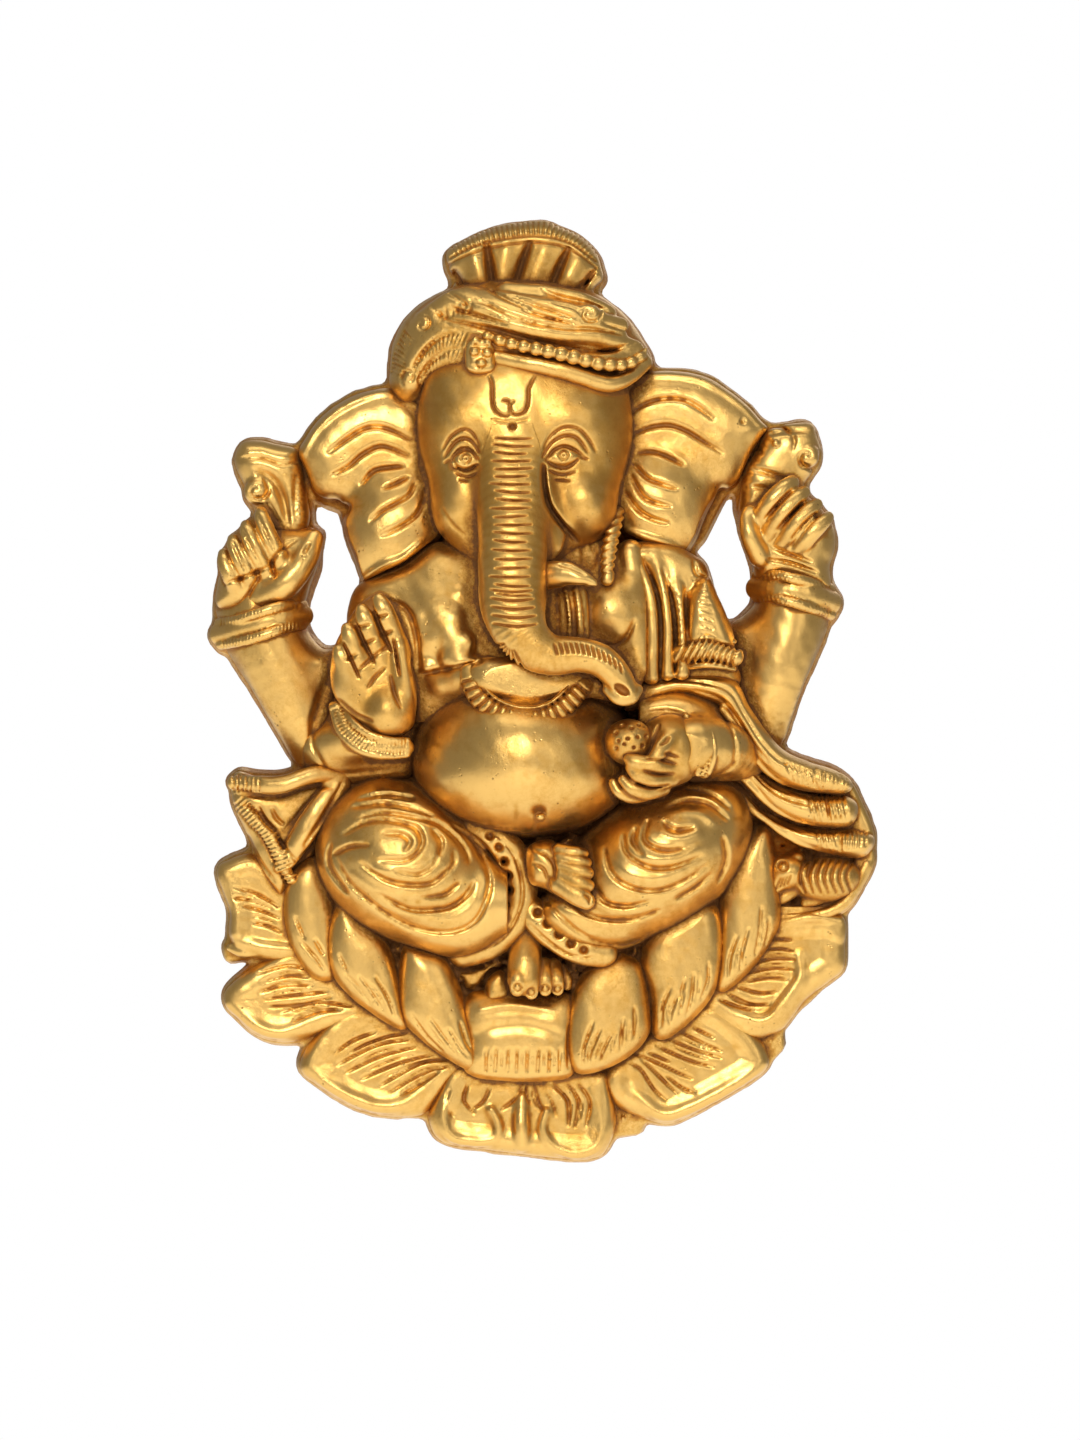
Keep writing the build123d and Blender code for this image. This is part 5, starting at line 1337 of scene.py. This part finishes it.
SCULPTED = {
    "head": head, "trunk": trunk, "tusk": tusk, "ear_left": ear_left, "ear_right": ear_right,
    "earring_rope": earring_rope, "turban_wrap": turban_wrap, "turban_plume": turban_plume,
    "turban_beads": turban_beads, "turban_brooch": turban_brooch, "belly": belly, "necklace": necklace,
    "chest": chest, "chest_drape": chest_drape, "rope_armlet": rope_armlet,
    "blessing_forearm": blessing_forearm, "blessing_cuff": blessing_cuff, "blessing_hand": blessing_hand,
    "sweet_forearm": sweet_forearm, "sweet_bracelet": sweet_bracelet, "sweet_hand": sweet_hand,
    "sweet_bowl": sweet_bowl, "rear_arm_left": rear_arm_left, "bangles_left": bangles_left,
    "rear_hand_left": rear_hand_left, "emblem_left": emblem_left, "rear_arm_right": rear_arm_right,
    "bangles_right": bangles_right, "rear_hand_right": rear_hand_right, "emblem_right": emblem_right,
    "shawl_right": shawl_right, "shawl_left": shawl_left, "thigh_left": thigh_left,
    "thigh_right": thigh_right, "hem_left": hem_left, "hem_right": hem_right, "foot_folded": foot_folded,
    "foot_hanging": foot_hanging, "mouse": mouse, "mouse_ledge": mouse_ledge,
    "petal_inner_centre": petal_inner_centre, "petal_inner_left_1": petal_inner_left_1,
    "petal_inner_left_2": petal_inner_left_2, "petal_inner_left_3": petal_inner_left_3,
    "petal_inner_right_1": petal_inner_right_1, "petal_inner_right_2": petal_inner_right_2,
    "petal_inner_right_3": petal_inner_right_3, "petal_outer_centre": petal_outer_centre,
    "petal_outer_left_1": petal_outer_left_1, "petal_outer_left_2": petal_outer_left_2,
    "petal_outer_left_3": petal_outer_left_3, "petal_outer_right_1": petal_outer_right_1,
    "petal_outer_right_2": petal_outer_right_2,
}
DETAIL = {name: 0.75 for name in ("blessing_hand", "sweet_hand", "sweet_bowl", "mouse", "foot_hanging",
                                   "necklace", "turban_plume", "foot_folded")} | {"head": 0.75,
                                       "trunk": 0.62}     # finer than the rest
LEFT_GAP = [(-60, 172), (-57.5, 174), (-55, 173.3), (-54, 168.5), (-52, 163.5), (-49.8, 158), (-52, 151),
            (-53.5, 145), (-55, 140.8), (-57.5, 139), (-60.5, 139), (-63.5, 142), (-65.3, 146), (-65, 151),
            (-63.5, 156), (-61.8, 161), (-61.3, 167)]
RIGHT_GAP = [(46.3, 174), (47.5, 176), (50, 176.8), (52.5, 176), (53.5, 171), (55.5, 165), (57, 160),
             (57.3, 155), (57, 151.5), (54.5, 148.5), (52, 146.2), (50, 145.8), (48.5, 147), (47.5, 150),
             (45.5, 156), (44.2, 161), (44.2, 166), (45.3, 171)]


class Map:
    """Heights over the wall plane, in mm."""

    def __init__(self, step):
        self.step = step
        self.x0, self.z0 = -96.0, -8.0
        self.shape = (int(200 / step), int(272 / step))
        self.flat_x = (self.x0 + step * np.arange(self.shape[0]))[:, None]
        self.flat_z = (self.z0 + step * np.arange(self.shape[1]))[None, :]

    def drop(self, target, points):
        """Raise a height field to the points that fall on it."""
        i = np.clip(np.rint((points[:, 0] - self.x0) / self.step).astype(int), 0, self.shape[0] - 1)
        j = np.clip(np.rint((points[:, 2] - self.z0) / self.step).astype(int), 0, self.shape[1] - 1)
        np.maximum.at(target, (i, j), points[:, 1])

    def look(self, values, x, z):
        """Bilinear value of a height field at points."""
        u = np.clip((x - self.x0) / self.step, 0, self.shape[0] - 1.001)
        v = np.clip((z - self.z0) / self.step, 0, self.shape[1] - 1.001)
        i, j = u.astype(int), v.astype(int)
        u, v = u - i, v - j
        return (values[i, j] * (1 - u) * (1 - v) + values[i + 1, j] * u * (1 - v)
                + values[i, j + 1] * (1 - u) * v + values[i + 1, j + 1] * u * v)

    def blur(self, values, radius):
        kx = np.fft.fftfreq(self.shape[0], self.step)[:, None]
        kz = np.fft.rfftfreq(self.shape[1], self.step)[None, :]
        soft = np.exp(-2 * (math.pi * radius) ** 2 * (kx**2 + kz**2))
        return np.fft.irfft2(np.fft.rfft2(values) * soft, s=self.shape)

    def grown(self, values, distance, least=False):
        """Largest (or smallest) value within some distance."""
        pick = np.minimum if least else np.maximum
        for _ in range(max(1, round(distance / self.step))):
            wide = np.pad(values, 1, mode="edge")
            values = pick.reduce([wide[1:-1, 1:-1], wide[:-2, 1:-1], wide[2:, 1:-1], wide[1:-1, :-2],
                                  wide[1:-1, 2:]])
        return values


# First the members alone, so that the hollow back can follow what stands in front of it.
fields = {}
fine = Map(0.36)
front = np.zeros(fine.shape)
for node, shape in SCULPTED.items():
    low, high = [np.array(corner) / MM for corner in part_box(node)]
    low, high = (low[0], -high[1], low[2] - FOOT_Z), (high[0], -low[1], high[2] - FOOT_Z)
    start = min(low[1], GROUND) - 2.5
    block = Block((low[0] - 3.5, start, low[2] - 3.5), (high[0] + 3.5, high[1] + 4.5, high[2] + 3.5),
                  STEP * DETAIL.get(node, 1.0))
    field = shape(block) + uneven(block)
    fields[node] = (block, field.astype(np.float32))
    sides = np.argmax((field < 0)[:, ::-1, :], axis=1)
    solid = (field < 0).any(axis=1)
    tops = block.low[1] + block.step * (field.shape[1] - 1 - sides)
    where = np.nonzero(solid)
    points = np.column_stack([block.flat_x[where[0], 0], tops[where], block.flat_z[0, where[1]]])
    fine.drop(front, points)
front = np.where(front == 0, fine.grown(front, 0.7), front)

# The plate's silhouette: the CAD plate and every member, without the two arm gaps.
cast = front > GROUND
plate_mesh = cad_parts["back_plate"].data
plate_mesh.calc_loop_triangles()
corners = np.empty(len(plate_mesh.vertices) * 3, np.float32)
plate_mesh.vertices.foreach_get("co", corners)
corners = corners.reshape(-1, 3)[:, [0, 2]] / MM - (0, FOOT_Z)
for triangle in plate_mesh.loop_triangles:
    a, c, e = corners[list(triangle.vertices)]
    area = (c[0] - a[0]) * (e[1] - a[1]) - (e[0] - a[0]) * (c[1] - a[1])
    if abs(area) < 1e-3:
        continue
    low = np.floor((np.minimum(np.minimum(a, c), e) - (fine.x0, fine.z0)) / fine.step).astype(int)
    high = np.ceil((np.maximum(np.maximum(a, c), e) - (fine.x0, fine.z0)) / fine.step).astype(int) + 1
    x, z = fine.flat_x[low[0]:high[0]], fine.flat_z[:, low[1]:high[1]]
    u = ((x - a[0]) * (e[1] - a[1]) - (e[0] - a[0]) * (z - a[1])) / area
    v = ((c[0] - a[0]) * (z - a[1]) - (x - a[0]) * (c[1] - a[1])) / area
    cast[low[0]:high[0], low[1]:high[1]] |= (u >= 0) & (v >= 0) & (u + v <= 1)
for gap in (LEFT_GAP, RIGHT_GAP):
    cast &= region(fine, gap) > 0
edge_distance = np.zeros(fine.shape)
inside = cast.copy()
for ring in range(84):                                  # distance in from the silhouette
    edge_distance += fine.step * inside * (1.0 if ring % 2 else 0.9)
    wide = np.pad(inside, 1)
    inside = inside & wide[:-2, 1:-1] & wide[2:, 1:-1] & wide[1:-1, :-2] & wide[1:-1, 2:]
    if ring % 2:
        inside = inside & wide[:-2, :-2] & wide[2:, 2:] & wide[:-2, 2:] & wide[2:, :-2]
border = 2.6 * (0.5 - fine.blur(cast.astype(float), 0.9))    # about mm, negative inside
relief = np.where(cast, np.maximum(front, GROUND), GROUND)
lining = fine.blur(fine.grown(relief, 3.5, least=True), 1.6)
hollow = np.clip(np.minimum(lining - WALL, 2.4 * (edge_distance - 4.5)), 0, None)
hollow = np.clip(fine.grown(lining, 2.5, least=True) - 2.4, 0, hollow)
hollow = fine.blur(hollow, 1.3)
# The plate rises between close members, as the metal does in a casting, and stays under their faces.
filled = fine.blur(fine.grown(fine.grown(relief, 3.5), 4.0, least=True), 1.0) - 0.7
filled = np.minimum(filled, 2.2 * edge_distance + GROUND)
filled = np.where(front > GROUND, np.minimum(filled, fine.grown(front, 0.5, least=True) - 0.7), filled)
lining = np.maximum(np.maximum(lining, GROUND), fine.blur(filled, 0.5))


def level(b, values):
    """A height map seen from a block."""
    x, z = np.broadcast_arrays(b.flat_x, b.flat_z)
    return fine.look(values, x, z)


def back_plate():
    low, high = [np.array(corner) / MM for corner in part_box("back_plate")]
    b = Block((low[0] - 2, 0, low[2] - FOOT_Z - 2), (high[0] + 2, lining.max() + 1, high[2] - FOOT_Z + 2),
              1.15)
    draft = np.clip(np.float32(0.12) * (b.d - GROUND), -1, 1)
    field = np.maximum(deep(level(b, border)) + draft, b.d - deep(level(b, lining)))
    field = np.maximum(field, deep(level(b, hollow)) - b.d)
    gaps = [abs(place - middle) - half
            for place, middle, half in zip((b.x, b.d, b.z), BRIDGE_MIDDLE, BRIDGE_HALF)]
    bar = np.maximum(np.maximum(gaps[0], gaps[2]), gaps[1])
    field = join(field, bar, 1.0)
    field = np.maximum(field, 0.02 - b.d)
    return b, field.astype(np.float32)


meshes = {}
for node, (block, field) in fields.items():
    behind = deep(np.maximum(level(block, hollow) + 0.7, level(block, lining) - 1.8)) - block.d
    meshes[node] = surface(block, np.maximum(field, behind))
fields.clear()
meshes["back_plate"] = surface(*back_plate())

# How deep each point lies below its surroundings, for the patina and the painted shade in hollows.
tops = np.zeros(fine.shape)
for points, _ in meshes.values():
    fine.drop(tops, points)
tops = np.where((tops == 0) & cast, fine.grown(tops, 0.7), tops)
near, far = fine.blur(tops, 0.55), fine.blur(tops, 3.0)


def weather(piece, points):
    """Store how sheltered each point is (dark patina and painted shade) and how exposed (rubbed bright)."""
    x, d, z = points.T
    close = fine.look(near, x, z) - d
    broad = fine.look(far, x, z) - d
    rear = d < fine.look(hollow, x, z) + 0.6
    open_side = np.clip(fine.look(edge_distance, x, z) / 3, 0.3, 1)
    # cut and seam grow in hollows and between members: they darken the colour as patina and as painted
    # shade.
    for label, values in (("cut", np.where(rear, 0.1, np.clip(close / 0.36, 0, 1) * open_side)),
                          ("seam_shade_patina", np.where(rear, 0.35, np.clip(broad / 3.6, 0, 1) * open_side)),
                          ("rub", np.where(rear, 0.0,
                                           np.clip(-close / 0.4, 0, 1) * 0.5 + np.clip(-broad / 3.5, 0,
                                               1) * 0.5))):
        layer = piece.data.attributes.new(label, "FLOAT", "POINT")
        layer.data.foreach_set("value", values.astype(np.float32))


# ------------------------------------------------------------------ materials
class Nodes:
    """Short way to write a material's node tree."""

    def __init__(self, name):
        self.material = bpy.data.materials.new(name)
        self.material.use_nodes = True
        self.tree = self.material.node_tree
        self.shader = self.tree.nodes["Principled BSDF"]
        self.place = self.add("ShaderNodeTexCoord").outputs["Object"]

    def add(self, kind, **values):
        node = self.tree.nodes.new(kind)
        for key, value in values.items():
            setattr(node, key, value)
        return node

    def link(self, source, target):
        self.tree.links.new(source, target)

    def noise(self, scale, detail=4.0, rough=0.55):
        node = self.add("ShaderNodeTexNoise")
        node.inputs["Scale"].default_value = scale
        node.inputs["Detail"].default_value = detail
        node.inputs["Roughness"].default_value = rough
        self.link(self.place, node.inputs["Vector"])
        return node.outputs["Fac"]

    def cells(self, scale):
        node = self.add("ShaderNodeTexVoronoi")
        node.inputs["Scale"].default_value = scale
        self.link(self.place, node.inputs["Vector"])
        return node.outputs["Distance"]

    def value(self, name):
        return self.add("ShaderNodeAttribute", attribute_name=name).outputs["Fac"]

    def math(self, operation, a, b=0.0, clamp=False):
        node = self.add("ShaderNodeMath", operation=operation, use_clamp=clamp)
        for socket, item in zip(node.inputs, (a, b)):
            if isinstance(item, (int, float)):
                socket.default_value = item
            else:
                self.link(item, socket)
        return node.outputs[0]

    def scaled(self, source, low, high, to_low=0.0, to_high=1.0):
        node = self.add("ShaderNodeMapRange")
        for index, item in enumerate((low, high, to_low, to_high), 1):
            node.inputs[index].default_value = item
        self.link(source, node.inputs[0])
        return node.outputs[0]

    def ramp(self, source, *stops):
        node = self.add("ShaderNodeValToRGB")
        while len(node.color_ramp.elements) < len(stops):
            node.color_ramp.elements.new(0.5)
        for element, (position, colour) in zip(node.color_ramp.elements, stops):
            element.position = position
            element.color = (*colour, 1)
        self.link(source, node.inputs[0])
        return node.outputs[0]

    def mix(self, share, a, b):
        node = self.add("ShaderNodeMix", data_type="RGBA")
        self.link(share, node.inputs[0])
        for socket, item in zip((node.inputs[6], node.inputs[7]), (a, b)):
            if isinstance(item, tuple):
                socket.default_value = (*item, 1)
            else:
                self.link(item, socket)
        return node.outputs[2]

    def bump(self, height, distance, strength=1.0, after=None):
        node = self.add("ShaderNodeBump")
        node.inputs["Distance"].default_value = distance
        node.inputs["Strength"].default_value = strength
        self.link(height, node.inputs["Height"])
        if after:
            self.link(after, node.inputs["Normal"])
        return node.outputs["Normal"]


def cast_metal(name, dull=0.0):
    """Patinated cast brass: satin where rubbed, brown in cuts and seams from patina and painted shade,
    speckled and rough along the seams.
    """
    n = Nodes(name)
    patches, mottle, grain = n.noise(55, 5), n.noise(760, 6, 0.8), n.noise(2400, 2, 0.6)
    cut, seam_shade_patina, rub = n.value("cut"), n.value("seam_shade_patina"), n.value("rub")
    rough_skin = n.math("ADD", n.math("MULTIPLY", seam_shade_patina, 0.8), n.scaled(patches, 0.35, 0.75, -0.1, 0.22))
    rough_skin = n.math("ADD", rough_skin, dull)
    speckle = n.math("MULTIPLY", n.scaled(mottle, 0.43, 0.6), n.scaled(rough_skin, 0.05, 0.8, 0.1, 1.0))
    # Darker in cuts and seams: patina in the hollows, and painted shade where the relief shelters them.
    patina_wear_and_shade = n.math("ADD", n.math("MULTIPLY", cut, 0.6), n.math("MULTIPLY", speckle, 0.6))
    patina_wear_and_shade = n.math("ADD", patina_wear_and_shade, n.math("MULTIPLY", seam_shade_patina, 0.12))
    patina_wear_and_shade = n.math("ADD", patina_wear_and_shade, n.math("MULTIPLY", rub, -0.18))
    patina_wear_and_shade = n.math("ADD", patina_wear_and_shade, n.scaled(patches, 0.3, 0.7, 0.08, 0.15), clamp=True)
    colour = n.ramp(patina_wear_and_shade, (0.0, (0.82, 0.5, 0.145)), (0.2, (0.67, 0.355, 0.074)),
                    (0.45, (0.52, 0.235, 0.042)),
                    (0.7, (0.38, 0.155, 0.028)), (1.0, (0.19, 0.075, 0.016)))
    pits = n.scaled(n.cells(620), 0.0, 0.24, 1.0, 0.0)
    pits = n.math("MULTIPLY", pits, n.scaled(n.noise(140, 3), 0.54, 0.7), clamp=True)
    n.link(n.mix(pits, colour, (0.12, 0.05, 0.014)), n.shader.inputs["Base Color"])
    n.link(n.scaled(patina_wear_and_shade, 0.35, 0.95, 1.0, 0.55), n.shader.inputs["Metallic"])
    rough = n.math("ADD", n.scaled(patina_wear_and_shade, 0.0, 0.8, 0.31, 0.6), n.scaled(grain, 0.3, 0.7, -0.03, 0.06),
                   clamp=True)
    n.link(rough, n.shader.inputs["Roughness"])
    skin = n.math("ADD", n.math("MULTIPLY", mottle, 0.8), n.math("MULTIPLY", grain, 0.3))
    skin = n.math("MULTIPLY", skin, n.scaled(rough_skin, 0.0, 0.7, 0.1, 1.5))
    skin = n.math("SUBTRACT", skin, n.math("MULTIPLY", pits, 0.4))
    n.link(n.bump(skin, 0.0005, 0.9), n.shader.inputs["Normal"])
    return n.material


def plain_metal(name, colour, rough, streaks):
    """Rolled or drawn metal with fine wear."""
    n = Nodes(name)
    n.shader.inputs["Metallic"].default_value = 1.0
    wear = n.noise(300, 5)
    dark = tuple(0.45 * c for c in colour)
    n.link(n.mix(n.scaled(wear, 0.45, 0.8), colour, dark), n.shader.inputs["Base Color"])
    n.link(n.scaled(wear, 0.3, 0.7, rough - 0.06, rough + 0.12), n.shader.inputs["Roughness"])
    n.link(n.bump(n.noise(streaks, 3), 0.0002, 0.3), n.shader.inputs["Normal"])
    return n.material


brass = cast_metal("brass_patina_painted_shade")
ground = cast_metal("brass_as_cast", dull=0.22)
for node, (points, faces) in meshes.items():
    piece = build(node + "_cast", points, faces)
    weather(piece, points)
    piece.data.materials.append(ground if node == "back_plate" else brass)
    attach(piece, "root")
    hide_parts(node)
hardware = {"hanger_strap": plain_metal("strip_brass", (0.62, 0.42, 0.14), 0.34, 900),
            "hanger_screws": plain_metal("zinc_steel", (0.5, 0.5, 0.5), 0.36, 1200),
            "hanging_ring": plain_metal("wire_brass", (0.68, 0.47, 0.17), 0.28, 1500)}
for node, finish in hardware.items():
    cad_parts[node].data.materials[0] = finish


# ------------------------------------------------------------------ studio
bpy.context.scene.view_settings.view_transform = "Standard"
middle = Vector((-1.35 * MM, -0.02, FOOT_Z * MM + 0.1193))
lens = bpy.data.cameras.new("camera")
lens.sensor_fit = "VERTICAL"
lens.sensor_height = 36
lens.lens = lens.sensor_height * CAMERA_DISTANCE / FRAME_HEIGHT
camera = bpy.data.objects.new("camera", lens)
camera.location = middle + Vector((0, -CAMERA_DISTANCE, 0))
camera.rotation_euler = (math.radians(90), 0, 0)
bpy.context.scene.collection.objects.link(camera)
bpy.context.scene.camera = camera

floor_mesh = bpy.data.meshes.new("floor")
floor_mesh.from_pydata([(-FLOOR_HALF, -FLOOR_HALF, 0), (FLOOR_HALF, -FLOOR_HALF, 0),
                        (FLOOR_HALF, FLOOR_HALF, 0),
                        (-FLOOR_HALF, FLOOR_HALF, 0)], [], [(0, 1, 2, 3)])
floor = bpy.data.objects.new("floor", floor_mesh)
floor.location = (0, 0, FOOT_Z * MM - FLOOR_DROP)
bpy.context.scene.collection.objects.link(floor)
paper = Nodes("white_paper")
paper.shader.inputs["Base Color"].default_value = (0.9, 0.9, 0.9, 1)
paper.shader.inputs["Roughness"].default_value = 0.9
floor.data.materials.append(paper.material)


def softbox(name, place, size, watts, aim=middle):
    light = bpy.data.lights.new(name, "AREA")
    light.shape = "RECTANGLE"
    light.size, light.size_y = size
    light.energy = watts
    lamp = bpy.data.objects.new(name, light)
    lamp.location = place
    lamp.rotation_euler = (aim - lamp.location).to_track_quat("-Z", "Y").to_euler()
    lamp.visible_camera = False
    bpy.context.scene.collection.objects.link(lamp)


softbox("key", Vector((-0.25, -1.8, 0.6)), (0.42, 0.42), 13)
softbox("fill", Vector((0.9, -1.4, 0.3)), (0.5, 0.9), 2.4)
softbox("top", Vector((0, -0.5, 1.3)), (1.2, 0.5), 4)
softbox("low", Vector((0, -1.3, -0.5)), (0.9, 0.3), 1.2)
softbox("rear", Vector((0.4, 1.6, 0.6)), (1.2, 1.0), 3)

world = bpy.data.worlds.new("studio")
bpy.context.scene.world = world
world.use_nodes = True
nodes, links = world.node_tree.nodes, world.node_tree.links
rays, blend = nodes.new("ShaderNodeLightPath"), nodes.new("ShaderNodeMixShader")
seen = nodes.new("ShaderNodeBackground")
nodes["Background"].inputs["Color"].default_value = (0.27, 0.27, 0.28, 1)
seen.inputs["Color"].default_value = (1, 1, 1, 1)
links.new(rays.outputs["Is Glossy Ray"],
          blend.inputs[0])        # white paper all round, a dimmer room in the metal
links.new(seen.outputs[0], blend.inputs[1])
links.new(nodes["Background"].outputs[0], blend.inputs[2])
links.new(blend.outputs[0], nodes["World Output"].inputs["Surface"])
